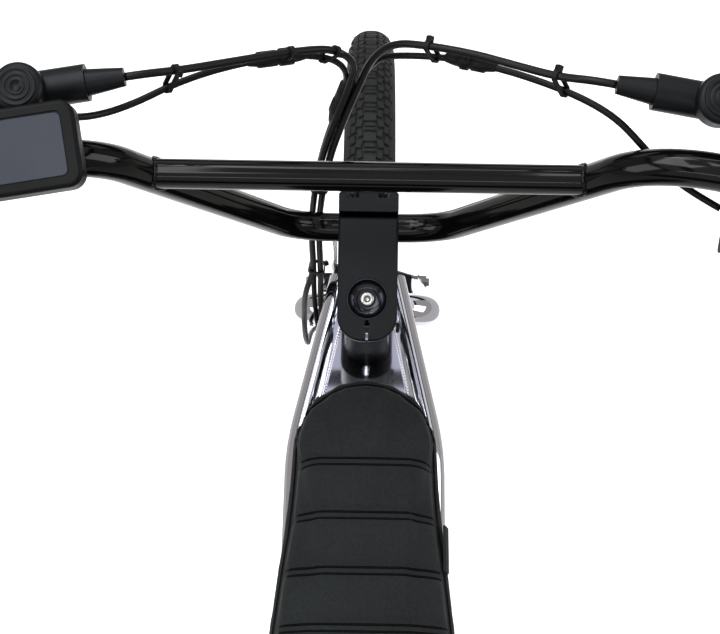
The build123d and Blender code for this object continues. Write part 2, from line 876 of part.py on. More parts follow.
with BuildPart() as gusset_plate:
    with BuildSketch(gusset_plane.offset(-gusset_thickness / 2)):
        with BuildLine():
            Polyline(*gusset_left, *gusset_right, close=True)
        make_face()
    extrude(amount=gusset_thickness)
    add(head_core.part, mode=Mode.SUBTRACT)
    for name, side in sides:
        add(rails[name], mode=Mode.SUBTRACT)
gusset_part = gusset_plate.part.solids().sort_by(SortBy.VOLUME)[-1]
save("gusset_plate", gusset_part)

# Mid motor round the crank spindle, with a lobe towards the down tube
motor_lobe = (crank_x + 88, crank_z + 47)
motor_lobe_radius = 44.0

with BuildPart() as motor:
    with BuildSketch(side_plane(motor_half_width)):
        with Locations((crank_x, crank_z)):
            Circle(motor_radius)
        with Locations(motor_lobe):
            Circle(motor_lobe_radius)
        with Locations((crank_x - 34, crank_z + 20)):
            Circle(40)
        make_hull()
    extrude(amount=2 * motor_half_width)
    fillet(motor.faces().filter_by(Axis.Y).edges(), radius=10)
    with BuildSketch(side_plane(motor_half_width)):
        with Locations((crank_x, crank_z)):
            Circle(spindle_radius + bore_fit)
    extrude(amount=2 * motor_half_width, mode=Mode.SUBTRACT)
motor_part = motor.part
save("motor", motor_part)

down_tube_top = steer.from_local_coords((-4, 0, 452))
down_tube_foot = Vector(motor_lobe[0], 0, motor_lobe[1])

steer_port = Plane(
    origin=steer.from_local_coords(port_centre),
    z_dir=steer.from_local_coords(port_centre + port_direction) - steer.from_local_coords(port_centre),
)
with BuildPart() as down_tube:
    with BuildSketch(along(down_tube_foot, down_tube_top)):
        Circle(down_tube_radius)
    extrude(amount=(down_tube_top - down_tube_foot).length)
    with BuildSketch(steer_port):
        Circle(port_radius)
    extrude(amount=38)
    add(head_tube_part, mode=Mode.SUBTRACT)
    add(gusset_part, mode=Mode.SUBTRACT)
    add(motor_part, mode=Mode.SUBTRACT)
    for name, side in sides:
        add(rails[name], mode=Mode.SUBTRACT)
down_tube_part = down_tube.part.solids().sort_by(SortBy.VOLUME)[-1]
save("down_tube", down_tube_part)

seat_tube_top_x = crank_x - 90
seat_tube_top = Vector(seat_tube_top_x, 0, rail_z(seat_tube_top_x) - 1)
seat_tube_foot = Vector(crank_x - 40, 0, crank_z + 20)

with BuildPart() as seat_tube:
    with BuildSketch(along(seat_tube_foot, seat_tube_top)):
        Circle(seat_tube_radius)
    extrude(amount=(seat_tube_top - seat_tube_foot).length)
    with BuildSketch(Plane(origin=seat_tube_top - Vector(0, rail_seat_y, 0), z_dir=(0, 1, 0))):
        Circle(rail_radius)
    extrude(amount=2 * rail_seat_y)
    add(motor_part, mode=Mode.SUBTRACT)
    for name, side in sides:
        add(rails[name], mode=Mode.SUBTRACT)
seat_tube_part = seat_tube.part.solids().sort_by(SortBy.VOLUME)[-1]
save("seat_tube", seat_tube_part)

# Rear triangle: chain stays carry the dropouts, seat stays come down from the top tubes
dropout_y = rear_hub_width / 2
stay_end_y = dropout_y + dropout_thickness / 2
seat_stay_top_x = rear_axle_x + 215
seat_stay_foot = (rear_axle_x + 16, wheel_radius + 44)

rear_caliper_angle = 38.0
rear_caliper_place = Plane(
    origin=(
        rear_axle_x + caliper_reach * cos(radians(rear_caliper_angle)),
        rear_rotor_y,
        wheel_radius + caliper_reach * sin(radians(rear_caliper_angle)),
    ),
    x_dir=(-cos(radians(rear_caliper_angle)), 0, -sin(radians(rear_caliper_angle))),
    z_dir=(0, 1, 0),
)
caliper_bolts = [rear_caliper_place.from_local_coords((-lug_out, along_y, 0)) for along_y in (-lug_half, lug_half)]
with BuildSketch(side_plane(dropout_y)) as caliper_plate:
    for bolt in caliper_bolts:
        with Locations((bolt.X, bolt.Z)):
            Circle(7)
    with Locations((rear_axle_x + 34, wheel_radius)):
        Circle(10)
    make_hull()

chain_stays = {}
for name, side in sides:
    with BuildPart() as chain_stay:
        with BuildLine() as stay_path:
            FilletPolyline(
                (crank_x - 44, side * 28, crank_z + 2),
                (crank_x - 130, side * 30, crank_z + 2),
                (crank_x - 270, side * 54, crank_z + 3),
                (rear_axle_x + 22, side * stay_end_y, wheel_radius),
                radius=[200, 260],
            )
        with BuildSketch(Plane(origin=stay_path.line @ 0, z_dir=stay_path.line % 0)):
            Circle(chain_stay_radius)
        sweep(path=stay_path.line)
        with BuildSketch(side_plane(side * dropout_y)):
            with Locations((rear_axle_x, wheel_radius)):
                Circle(19)
            with Locations((rear_axle_x + 34, wheel_radius)):
                Circle(10)
            with Locations(seat_stay_foot):
                Circle(11)
            make_hull()
        extrude(amount=-side * dropout_thickness)
        if side == 1:
            extrude(caliper_plate.sketch, amount=-dropout_thickness)
        with BuildSketch(side_plane(side * dropout_y)):
            with Locations((rear_axle_x, wheel_radius)):
                Circle(40)
        extrude(amount=side * 12, mode=Mode.SUBTRACT)
        with BuildSketch(side_plane(side * (dropout_y - 10))):
            with Locations((rear_axle_x, wheel_radius)):
                Circle(axle_radius + bore_fit)
        extrude(amount=-side * (dropout_thickness + 20), mode=Mode.SUBTRACT)
        add(motor_part, mode=Mode.SUBTRACT)
    chain_stays[name] = chain_stay.part.solids().sort_by(SortBy.VOLUME)[-1]
    save(f"{name}_chain_stay", chain_stays[name])

seat_stays = {}
for name, side in sides:
    top = Vector(seat_stay_top_x, side * rail_seat_y, rail_z(seat_stay_top_x))
    foot = Vector(seat_stay_foot[0], side * (stay_end_y + 1), seat_stay_foot[1])
    with BuildPart() as seat_stay:
        with BuildSketch(along(foot, top)):
            Circle(seat_stay_radius)
        extrude(amount=(top - foot).length)
        add(rails[name], mode=Mode.SUBTRACT)
        add(chain_stays[name], mode=Mode.SUBTRACT)
    seat_stays[name] = seat_stay.part.solids().sort_by(SortBy.VOLUME)[-1]
    save(f"{name}_seat_stay", seat_stays[name])

with BuildPart() as tail_bridge:
    bridge_x = rail_tail_x + 22
    with BuildSketch(Plane(origin=(bridge_x, -rail_seat_y, rail_z(bridge_x)), z_dir=(0, 1, 0))):
        Circle(rail_radius - 2)
    extrude(amount=2 * rail_seat_y)
    for name, side in sides:
        add(rails[name], mode=Mode.SUBTRACT)
save("tail_bridge", tail_bridge.part.solids().sort_by(SortBy.VOLUME)[-1])

# Battery case on the upper side of the down tube
battery_depth = 74.0
battery_width = 78.0
battery_start = 60.0
battery_end = 88.0
battery_length = (down_tube_top - down_tube_foot).length - battery_start - battery_end
down_direction = (down_tube_top - down_tube_foot).normalized()
battery_up = Vector(-down_direction.Z, 0, down_direction.X)
battery_origin = down_tube_foot + down_direction * battery_start + battery_up * (
    down_tube_radius + seat_gap + battery_depth / 2
)

with BuildPart() as battery_case:
    with BuildSketch(Plane(origin=battery_origin, x_dir=battery_up, z_dir=down_direction)):
        RectangleRounded(battery_depth, battery_width, 16)
    extrude(amount=battery_length)
    fillet(battery_case.faces().sort_by(Axis.Z)[-1].edges(), radius=8)
save("battery_case", battery_case.part)

with BuildPart() as rear_axle:
    axle_end = dropout_y + dropout_thickness + 2.5 + nut_height + axle_stub
    with BuildSketch(Plane(origin=(rear_axle_x, -axle_end, wheel_radius), z_dir=(0, 1, 0))):
        Circle(axle_radius)
    extrude(amount=2 * axle_end)
    for name, side in sides:
        outer = dropout_y + dropout_thickness
        with BuildSketch(Plane(origin=(rear_axle_x, side * outer, wheel_radius), z_dir=(0, side, 0))):
            Circle(flange_radius)
        extrude(amount=2.5)
        with BuildSketch(Plane(origin=(rear_axle_x, side * (outer + 2.5), wheel_radius), z_dir=(0, side, 0))):
            RegularPolygon(nut_flats / 2, 6, major_radius=False)
        extrude(amount=nut_height)
save("rear_axle", rear_axle.part)

rear_lug_face = dropout_y - rear_rotor_y - seat_gap
rear_caliper = caliper(rear_caliper_place, 1, rear_lug_face) - chain_stays["left"] - seat_stays["left"]
save("rear_caliper", rear_caliper.solids().sort_by(SortBy.VOLUME)[-1])

# Chain: a grooved loop that hides the teeth, round the chainring and the rear sprocket
ring_pitch_radius = chain_pitch / 2 / sin(pi / chainring_teeth)
sprocket_pitch_radius = chain_pitch / 2 / sin(pi / sprocket_teeth)
tooth_tip = 3.4
tooth_root = 4.0
chain_outer = 5.4
chain_inner = 4.4
groove_depth = 4.0
groove_width = tooth_thickness + 1.0


def loop_sketch(offset_radius, y):
    # Outline round both toothed wheels, at a distance from the pitch line.
    with BuildSketch(side_plane(y)) as outline:
        with Locations((crank_x, crank_z)):
            Circle(ring_pitch_radius + offset_radius)
        with Locations((rear_axle_x, wheel_radius)):
            Circle(sprocket_pitch_radius + offset_radius)
        make_hull()
    return outline.sketch


chain_outside = loop_sketch(chain_outer, chain_width / 2 - chain_line)
chain_inside = loop_sketch(-chain_inner, chain_width / 2 + 1 - chain_line)
chain_groove = loop_sketch(groove_depth, groove_width / 2 - chain_line)
with BuildPart() as chain:
    extrude(chain_outside, amount=chain_width)
    extrude(chain_inside, amount=chain_width + 2, mode=Mode.SUBTRACT)
    extrude(chain_groove, amount=groove_width, mode=Mode.SUBTRACT)
save("chain", chain.part)


def toothed_disc(teeth, pitch_radius, centre, hole, windows):
    # Thin disc with straight-sided teeth and round windows.
    with BuildPart() as disc:
        with BuildSketch(Plane(origin=(centre[0], tooth_thickness / 2 - chain_line, centre[1]),
                               x_dir=(1, 0, 0), z_dir=(0, -1, 0))):
            Circle(pitch_radius - tooth_root)
            with PolarLocations(pitch_radius - tooth_root - 1, teeth):
                with BuildLine(mode=Mode.PRIVATE) as tooth:
                    Polyline((0, -3.6), (tooth_root + 1 + tooth_tip, -1.1),
                             (tooth_root + 1 + tooth_tip, 1.1), (0, 3.6), close=True)
                add(make_face(tooth.edges(), mode=Mode.PRIVATE))
            Circle(hole, mode=Mode.SUBTRACT)
            if windows:
                with PolarLocations(pitch_radius * 0.62, windows):
                    Circle(pitch_radius * 0.17, mode=Mode.SUBTRACT)
        extrude(amount=tooth_thickness)
    return disc.part


arm_boss = 17.0
arm_thickness = 13.0
arm_inner_y = 62.0
spindle_end = arm_inner_y + arm_thickness
save("chainring", toothed_disc(chainring_teeth, ring_pitch_radius, (crank_x, crank_z), 27.0, 5))
save("rear_sprocket", toothed_disc(sprocket_teeth, sprocket_pitch_radius, (rear_axle_x, wheel_radius), 14.0, 0))

pedal_axle_radius = 6.5
pedal_inner = spindle_end + 5.0
pedal_length = 92.0

with BuildPart() as crankset:
    with BuildSketch(Plane(origin=(crank_x, -spindle_end, crank_z), z_dir=(0, 1, 0))):
        Circle(spindle_radius)
    extrude(amount=2 * spindle_end)
    for name, side in sides:
        pedal_z = crank_z + side * crank_length
        with BuildSketch(side_plane(side * arm_inner_y)):
            with Locations((crank_x, crank_z)):
                Circle(arm_boss)
            with Locations((crank_x, pedal_z)):
                Circle(12.5)
            make_hull()
        extrude(amount=-side * arm_thickness)
        with BuildSketch(Plane(origin=(crank_x, side * arm_inner_y, pedal_z), z_dir=(0, side, 0))):
            Circle(pedal_axle_radius)
        extrude(amount=arm_thickness + 5 + pedal_length - 8)
    with BuildSketch(side_plane(-chain_line + tooth_thickness / 2 + 3)):
        with Locations((crank_x, crank_z)):
            Circle(27.0 - bore_fit)
    extrude(amount=arm_inner_y - chain_line + tooth_thickness / 2 + 3)
    with BuildSketch(side_plane(-chain_line - tooth_thickness / 2)):
        with Locations((crank_x, crank_z)):
            Circle(34)
    extrude(amount=3)
save("crankset", crankset.part)

pedal_width = 96.0
pedal_height = 22.0
for name, side in sides:
    pedal_z = crank_z + side * crank_length
    with BuildPart() as pedal:
        with BuildSketch(Plane(origin=(crank_x, side * pedal_inner, pedal_z), x_dir=(1, 0, 0), z_dir=(0, side, 0))):
            RectangleRounded(pedal_width, pedal_height, 9)
        extrude(amount=pedal_length)
        with BuildSketch(Plane(origin=(crank_x, side * (pedal_inner + pedal_length / 2), pedal_z - pedal_height))):
            with GridLocations(pedal_width - 40, 38, 2, 2):
                RectangleRounded(26, 26, 6)
        extrude(amount=2 * pedal_height, mode=Mode.SUBTRACT)
        with BuildSketch(Plane(origin=(crank_x, side * pedal_inner, pedal_z), z_dir=(0, side, 0))):
            Circle(pedal_axle_radius + bore_fit)
        extrude(amount=pedal_length - 7, mode=Mode.SUBTRACT)
    save(f"{name}_pedal", pedal.part)

# Centre stand: a bracket under the motor holds a cross pin, and two legs swing back
pin_radius = 6.0
bracket_half_width = 22.0
bracket_thickness = 5.0
foot_length = 30.0
foot_height = 8.0
sleeve_radius = 11.0

with BuildPart() as stand_bracket:
    bracket_y = bracket_half_width
    for side in (1, -1):
        with BuildSketch(side_plane(side * bracket_y)):
            with Locations((stand_x, stand_z)):
                Circle(13)
            with Locations((crank_x - 108, crank_z - 6)):
                Circle(12)
            with Locations((crank_x - 42, crank_z - 20)):
                Circle(12)
            make_hull()
        extrude(amount=-side * bracket_thickness)
    with BuildSketch(Plane(origin=(stand_x, -bracket_y - bracket_thickness, stand_z), z_dir=(0, 1, 0))):
        Circle(pin_radius)
    extrude(amount=2 * (bracket_y + bracket_thickness))
    add(motor_part, mode=Mode.SUBTRACT)
    for name, side in sides:
        add(chain_stays[name], mode=Mode.SUBTRACT)
save("stand_bracket", stand_bracket.part)

with BuildPart() as centre_stand:
    sleeve = bracket_half_width - 0.5
    with BuildSketch(Plane(origin=(stand_x, -sleeve, stand_z), z_dir=(0, 1, 0))):
        Circle(sleeve_radius)
    extrude(amount=2 * sleeve)
    for name, side in sides:
        with BuildLine() as leg:
            FilletPolyline(
                (stand_x, side * (sleeve - 10), stand_z),
                (stand_x, side * (sleeve - 10), stand_z - 26),
                (stand_x + 3, side * 52, stand_z - 66),
                (stand_x + stand_lean, side * stand_foot_y, foot_height),
                radius=[20, 60],
            )
        with BuildSketch(Plane(origin=leg.line @ 0, z_dir=leg.line % 0)):
            Circle(stand_leg_radius)
        sweep(path=leg.line)
        with BuildSketch(Plane(origin=(stand_x + stand_lean, side * stand_foot_y, 0))):
            RectangleRounded(foot_length, 26, 6)
        extrude(amount=foot_height + 6)
    with BuildSketch(Plane(origin=(stand_x, -sleeve - 1, stand_z), z_dir=(0, 1, 0))):
        Circle(pin_radius + bore_fit)
    extrude(amount=2 * sleeve + 2, mode=Mode.SUBTRACT)
save("centre_stand", centre_stand.part)

# Seat: plan of the bench in the top tubes' own plane, a round nose that widens to a round tail
seat_nose_x = head_x - 77.8
seat_nose_radius = 57.0
seat_waist = (head_x - 214.3, 62.0)
seat_tail_x = rear_axle_x + 215
seat_base = rail_radius + seat_gap


def seat_outline(inset, lift):
    # Closed outline of tangent arcs, drawn in from the bench's edge and lifted off the top tubes.
    nose = seat_nose_radius - inset
    nose_x = seat_nose_x - seat_nose_radius
    widening = (seat_waist[1] - seat_nose_radius) / (nose_x - seat_waist[0])
    waist = seat_waist[1] - inset
    tail = waist + widening * (seat_waist[0] - seat_tail_x)
    with BuildSketch(rail_plane.offset(lift)) as outline:
        with BuildLine():
            ThreePointArc((nose_x, -nose), (nose_x + nose, 0), (nose_x, nose))
            front = TangentArc((nose_x, nose), (seat_waist[0], waist), tangent=(-1, 0))
            TangentArc(front @ 1, (seat_tail_x, tail), tangent=front % 1)
            ThreePointArc((seat_tail_x, tail), (seat_tail_x - tail, 0), (seat_tail_x, -tail))
            rear = TangentArc((seat_tail_x, -tail), (seat_waist[0], -waist), tangent=(1, 0))
            TangentArc(rear @ 1, (nose_x, -nose), tangent=rear % 1)
        make_face()
    return outline.sketch


pan_outline = seat_outline(6, seat_base)
with BuildPart() as seat_pan:
    extrude(pan_outline, amount=seat_pan_thickness)
save("seat_pan", seat_pan.part)

cushion_outline = seat_outline(0, seat_base + seat_pan_thickness + seat_gap)
with BuildPart() as seat_cushion:
    extrude(cushion_outline, amount=seat_thickness)
    fillet(seat_cushion.faces().sort_by(Axis.Z)[-1].edges(), radius=seat_edge_radius)
save("seat_cushion", seat_cushion.part)
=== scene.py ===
import math
import bpy
from mathutils import Matrix, Quaternion, Vector
from mathutils.bvhtree import BVHTree


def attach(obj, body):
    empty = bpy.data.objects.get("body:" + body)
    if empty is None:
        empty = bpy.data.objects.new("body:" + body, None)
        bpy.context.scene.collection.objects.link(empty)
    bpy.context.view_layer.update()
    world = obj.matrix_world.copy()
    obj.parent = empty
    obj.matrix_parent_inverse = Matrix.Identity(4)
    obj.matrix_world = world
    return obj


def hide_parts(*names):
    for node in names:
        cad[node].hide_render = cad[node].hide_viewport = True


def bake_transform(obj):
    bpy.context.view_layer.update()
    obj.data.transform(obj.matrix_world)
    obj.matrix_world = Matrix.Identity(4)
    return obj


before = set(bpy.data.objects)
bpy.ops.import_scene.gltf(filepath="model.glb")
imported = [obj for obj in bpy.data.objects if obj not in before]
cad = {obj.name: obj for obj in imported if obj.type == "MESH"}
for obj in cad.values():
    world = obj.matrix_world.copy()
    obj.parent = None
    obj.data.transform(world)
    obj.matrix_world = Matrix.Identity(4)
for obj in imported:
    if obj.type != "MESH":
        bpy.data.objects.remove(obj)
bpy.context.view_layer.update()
print("stage: frame loaded")

# Driving sizes of the bike, in mm: x forward, y to the rider's left, z up
wheelRadius, halfWheelbase = 303.0, 545.0
wheels = {
    "front": {"centre": Vector((halfWheelbase, 0, wheelRadius)), "body": "front_wheel", "rotorY": 41},
    "rear": {"centre": Vector((-halfWheelbase, 0, wheelRadius)), "body": "rear_wheel", "rotorY": 52},
}
crankAxle = Vector((-60, 0, 295))
rail = {"height": 722.0, "atX": 334.3, "slope": 0.03, "left": 54.3}  # the twin top tubes

# The steering's own axes: forward of the steering axis, and up along it
head = {"angle": math.radians(69.3), "rake": 49.0}
steerForward = Vector((math.sin(head["angle"]), 0, math.cos(head["angle"])))
steerUp = Vector((-math.cos(head["angle"]), 0, math.sin(head["angle"])))
steerOrigin = (wheels["front"]["centre"] - steerForward * head["rake"]) / 1000


def steered(forward, left, up):
    # Place in the scene of a point given in mm along the steering's axes
    return steerOrigin + steerForward * forward / 1000 + Vector((0, left / 1000, 0)) + steerUp * up / 1000


def mirrored(point, side):
    return Vector((point[0], point[1] * side, point[2]))


def roundAxle(centre, radius, degrees, y):
    # Point at an angle round a crosswise axle, in mm
    turn = math.radians(degrees)
    return centre + Vector((radius * math.cos(turn), y, radius * math.sin(turn)))


def railHeight(x):
    return rail["height"] + rail["slope"] * (x - rail["atX"])


def linearColour(code):
    parts = [int(code[i:i + 2], 16) / 255 for i in (1, 3, 5)]
    return (*[c / 12.92 if c <= 0.04045 else ((c + 0.055) / 1.055) ** 2.4 for c in parts], 1)


def addNode(tree, kind, settings=None, links=None, **options):
    node = tree.nodes.new("ShaderNode" + kind)
    for name, value in options.items():
        setattr(node, name, value)
    for socket, value in (settings or {}).items():
        node.inputs[socket].default_value = value
    for socket, source in (links or {}).items():
        tree.links.new(source, node.inputs[socket])
    return node


def emptyMaterial(name):
    material = bpy.data.materials.new(name)
    material.use_nodes = True
    material.node_tree.nodes.clear()
    return material, material.node_tree


def startMaterial(name, settings):
    material, tree = emptyMaterial(name)
    shader = addNode(tree, "BsdfPrincipled", settings)
    addNode(tree, "OutputMaterial", links={"Surface": shader.outputs[0]})
    place = addNode(tree, "TexCoord").outputs["Object"]
    return material, tree, shader, place


def varyRoughness(tree, shader, place, sizeMm, low, high):
    # Patches of wiping, dust and handling, sizeMm across
    patches = addNode(tree, "TexNoise", {"Scale": 1000 / sizeMm, "Detail": 4}, {"Vector": place})
    spread = addNode(tree, "MapRange", {"From Min": 0.3, "From Max": 0.7, "To Min": low, "To Max": high},
                     {"Value": patches.outputs["Fac"]})
    tree.links.new(spread.outputs[0], shader.inputs["Roughness"])


def fineBump(tree, shader, place, sizeMm, strength, depthMm, stretch=(1, 1, 1)):
    mapped = addNode(tree, "Mapping", {"Scale": stretch}, {"Vector": place})
    grain = addNode(tree, "TexNoise", {"Scale": 1000 / sizeMm, "Detail": 3}, {"Vector": mapped.outputs[0]})
    bump = addNode(tree, "Bump", {"Strength": strength, "Distance": depthMm / 1000},
                   {"Height": grain.outputs["Fac"]})
    tree.links.new(bump.outputs[0], shader.inputs["Normal"])


def makeMetal(name, colour, roughness, patchMm, grainMm, grainStrength, metallic=1.0, stretch=(1, 1, 1),
              **extra):
    settings = {"Base Color": linearColour(colour), "Metallic": metallic, "Roughness": roughness[0]}
    settings.update({key.replace("_", " "): value for key, value in extra.items()})
    material, tree, shader, place = startMaterial(name, settings)
    varyRoughness(tree, shader, place, patchMm, roughness[0], roughness[1])
    fineBump(tree, shader, place, grainMm, grainStrength, 0.2, stretch)
    return material


# Chrome plate over polished steel: a near mirror, with a faint haze from wiping
chromePlate = makeMetal("chromePlate", "#C2C3CD", (0.03, 0.08), 60, 45, 0.02)
# Powder coat, gloss black: deep black with a clear top and a little orange peel, 2.5 mm across
blackPowderCoat = makeMetal("blackPowderCoat", "#050506", (0.08, 0.14), 70, 2.5, 0.03, metallic=0.0,
                            Specular_IOR_Level=0.15, Coat_Weight=0.08, Coat_Roughness=0.04)
# Anodised aluminium, blasted before dyeing: satin black, blast grain 0.5 mm drawn as 0.9
anodisedBlack = makeMetal("anodisedBlack", "#101215", (0.36, 0.46), 30, 0.9, 0.10, metallic=0.5,
                          Specular_IOR_Level=0.22)
# Machined and zinc plated steel: turned and brushed, with fine lines
platedSteel = makeMetal("platedSteel", "#B4B4B2", (0.22, 0.36), 8, 1.2, 0.12, stretch=(1, 0.15, 1))
# Axle nuts and washers: zinc, dulled by handling
dullZinc = makeMetal("dullZinc", "#6B6B6C", (0.34, 0.48), 6, 1.0, 0.14, stretch=(1, 0.15, 1))
# Stainless brake steel, ground on both faces
groundStainless = makeMetal("groundStainless", "#A9AAAC", (0.20, 0.34), 12, 0.8, 0.10, stretch=(1, 1, 0.2))
# Black oxide socket screws, slightly oily
blackOxide = makeMetal("blackOxide", "#17181A", (0.26, 0.40), 6, 1.0, 0.08, metallic=0.8)
# Turned and dyed aluminium of the headset cap: nearly a black mirror
turnedBlack = makeMetal("turnedBlack", "#2A2B30", (0.12, 0.20), 10, 1.0, 0.05, metallic=0.9)
# Roller chain: plated side plates with a film of oil
chainSteel = makeMetal("chainSteel", "#8C8B88", (0.24, 0.42), 6, 1.0, 0.10)


def makePlastic(name, colour, roughness, grainMm, grainStrength, patchMm=40, gloss=0.25):
    material, tree, shader, place = startMaterial(
        name, {"Base Color": linearColour(colour), "Roughness": roughness[0], "IOR": 1.5,
               "Specular IOR Level": gloss})
    varyRoughness(tree, shader, place, patchMm, roughness[0], roughness[1])
    fineBump(tree, shader, place, grainMm, grainStrength, 0.3)
    return material


# Glass-filled nylon, moulded against a spark-eroded tool: dull black with a 0.9 mm grain
mouldedNylon = makePlastic("mouldedNylon", "#0C0D0E", (0.42, 0.56), 0.9, 0.16, gloss=0.14)
# ABS housing, moulded, half gloss
mouldedAbs = makePlastic("mouldedAbs", "#08090A", (0.34, 0.46), 1.2, 0.05, gloss=0.08)
# Hose and wire sheath: extruded PVC, half gloss, faint ripple along it
extrudedPvc = makePlastic("extrudedPvc", "#09090A", (0.28, 0.42), 5, 0.05, gloss=0.16)
# Grip rubber: moulded, soft, slightly dusty
gripRubber = makePlastic("gripRubber", "#121213", (0.62, 0.78), 1.5, 0.15)
# Tyre tread: cured rubber, matt, dusty in the grooves
curedRubber = makePlastic("curedRubber", "#18191A", (0.66, 0.84), 2.2, 0.20, patchMm=55)
# Nylon thread, waxed; also laid as a continuous dark tube in the seat's seam grooves, as painted shade
threadAndCreaseShade = makePlastic("threadAndCreaseShade", "#040404", (0.45, 0.60), 1.0, 0.10, gloss=0.05)
# Woven edge binding of the seat
wovenBinding = makePlastic("wovenBinding", "#121314", (0.75, 0.85), 1.0, 0.30)


seatWeave = {"threadMm": 6.91, "slubMm": 2.4, "patchMm": 70, "depthMm": 0.4, "dark": "#151718",
             "pale": "#1B1E1F"}


def makeSeatCloth():
    # Coated woven polyester: dull charcoal, a plain weave of 0.7 mm threads drawn as 6.9 mm to show, a grain
    # of uneven threads, and slow changes of shade where the cloth is stretched over the padding
    w = seatWeave
    material, tree, shader, place = startMaterial(
        "seatCloth", {"Roughness": 0.8, "Sheen Weight": 0.12, "Sheen Roughness": 0.5,
                      "Sheen Tint": linearColour("#9A9DA0"), "Specular IOR Level": 0.12})
    waveScale = 2 * math.pi / 20 * 1000 / w["threadMm"]  # a wave texture runs 20 radians to its unit
    waves = {"Scale": waveScale, "Distortion": 0.35, "Detail": 1, "Detail Scale": 4}
    warp, weft = [addNode(tree, "TexWave", waves, {"Vector": place}, bands_direction=axis).outputs["Fac"]
                  for axis in ("X", "Y")]
    crossed = addNode(tree, "Math", links={0: warp, 1: weft}, operation="MULTIPLY")
    slub = addNode(tree, "TexNoise", {"Scale": 1000 / w["slubMm"], "Detail": 5, "Roughness": 0.7},
                   {"Vector": place}).outputs["Fac"]
    height = addNode(tree, "Math", {1: 0.5}, {0: slub, 2: crossed.outputs[0]}, operation="MULTIPLY_ADD")
    patches = addNode(tree, "TexNoise", {"Scale": 1000 / w["patchMm"], "Detail": 4}, {"Vector": place})
    base = addNode(tree, "ValToRGB", links={"Fac": patches.outputs["Fac"]})
    threads = addNode(tree, "ValToRGB", links={"Fac": slub})
    for ramp, ends in ((base, ((0.3, linearColour(w["dark"])), (0.7, linearColour(w["pale"])))),
                       (threads, ((0.35, (0.72, 0.72, 0.72, 1)), (0.68, (1.2, 1.2, 1.2, 1))))):
        for element, (position, colour) in zip(ramp.color_ramp.elements, ends):
            element.position = position
            element.color = colour
    shade = addNode(tree, "Mix", {"Factor": 1}, {6: base.outputs[0], 7: threads.outputs[0]}, data_type="RGBA",
                    blend_type="MULTIPLY")
    tree.links.new(shade.outputs[2], shader.inputs["Base Color"])
    bump = addNode(tree, "Bump", {"Strength": 0.35, "Distance": w["depthMm"] / 1000},
                   {"Height": height.outputs[0]})
    tree.links.new(bump.outputs[0], shader.inputs["Normal"])
    return material


def makeScreenGlass():
    # Toughened cover glass over a screen that is off: grey-blue, smooth, with faint smears
    material, tree, shader, place = startMaterial(
        "screenGlass", {"Base Color": linearColour("#262A33"), "Roughness": 0.12, "IOR": 1.5,
                        "Specular IOR Level": 0.1})
    varyRoughness(tree, shader, place, 18, 0.10, 0.20)
    return material


seatCloth = makeSeatCloth()
screenGlass = makeScreenGlass()
print("stage: materials")

finishes = {
    chromePlate: ("head_tube", "left_top_tube", "right_top_tube", "gusset_plate", "down_tube", "seat_tube",
                  "left_chain_stay", "right_chain_stay", "left_seat_stay", "right_seat_stay", "tail_bridge",
                  "fork"),
    blackPowderCoat: ("handlebar",),
    turnedBlack: ("top_cap",),
    anodisedBlack: ("stem", "stem_faceplate", "headset_spacer", "left_brake_lever",
                    "right_brake_lever", "left_lever_blade", "right_lever_blade", "front_caliper",
                    "rear_caliper",
                    "front_rim", "rear_rim", "front_hub", "rear_hub", "chainring", "crankset", "motor",
                    "battery_case", "stand_bracket", "centre_stand"),
    dullZinc: ("front_axle", "rear_axle"),
    platedSteel: ("rear_sprocket",),
    groundStainless: ("front_rotor", "rear_rotor"),
    chainSteel: ("chain",),
    gripRubber: ("left_grip", "right_grip"),
    curedRubber: ("front_tyre", "rear_tyre"),
    mouldedNylon: ("shifter", "left_pedal", "right_pedal", "seat_pan"),
    mouldedAbs: ("display",),
    extrudedPvc: ("front_brake_hose", "rear_brake_hose", "display_wire", "shift_cable"),
    seatCloth: ("seat_cushion",),
}
for material, names in finishes.items():
    for name in names:
        for holder in cad[name].material_slots:
            holder.material = material


def addPiece(name, mesh, body, slotName, material, *replaced, smooth=True):
    piece = bpy.data.objects.new(name, mesh)
    bpy.context.scene.collection.objects.link(piece)
    mesh.materials.clear()
    mesh.materials.append(material)
    for face in mesh.polygons:
        face.use_smooth = smooth
    if body:
        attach(piece, body)
    if replaced:
        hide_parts(*replaced)
    return piece


def meshFrom(name, points, faces):
    mesh = bpy.data.meshes.new(name)
    mesh.from_pydata([tuple(p) for p in points], [], faces)
    mesh.validate()
    return mesh


def alongAxis(origin, axis, side=None):
    # Matrix that takes local z to the axis
    axis = Vector(axis).normalized()
    guide = Vector(side) if side else (Vector((0, 0, 1)) if abs(axis.z) < 0.9 else Vector((1, 0, 0)))
    x = guide - axis * guide.dot(axis)
    x.normalize()
    y = axis.cross(x)
    turn = Matrix((x, y, axis)).transposed().to_4x4()
    return Matrix.Translation(origin) @ turn


def lathe(profile, steps, place):
    # Profile of (radius, height) in mm turned about the z of a place
    points, faces = [], []
    count = len(profile)
    for step in range(steps):
        turn = 2 * math.pi * step / steps
        for radius, height in profile:
            points.append(place @ (Vector((radius * math.cos(turn), radius * math.sin(turn), height)) / 1000))
    for step in range(steps):
        after = (step + 1) % steps
        for i in range(count - 1):
            faces.append((step * count + i, after * count + i, after * count + i + 1, step * count + i + 1))
    return points, faces


def skinRings(levels, count):
    # Faces between closed rings of count points that follow one another
    faces = []
    for level in range(levels - 1):
        base = level * count
        for k in range(count):
            after = (k + 1) % count
            faces.append((base + k, base + after, base + count + after, base + count + k))
    return faces


def joinParts(parts):
    points, faces = [], []
    for partPoints, partFaces in parts:
        base = len(points)
        points.extend(partPoints)
        faces.extend([tuple(i + base for i in face) for face in partFaces])
    return points, faces

def addParts(name, parts, *described, smooth=True):
    return addPiece(name, meshFrom(name, *joinParts(parts)), *described, smooth=smooth)


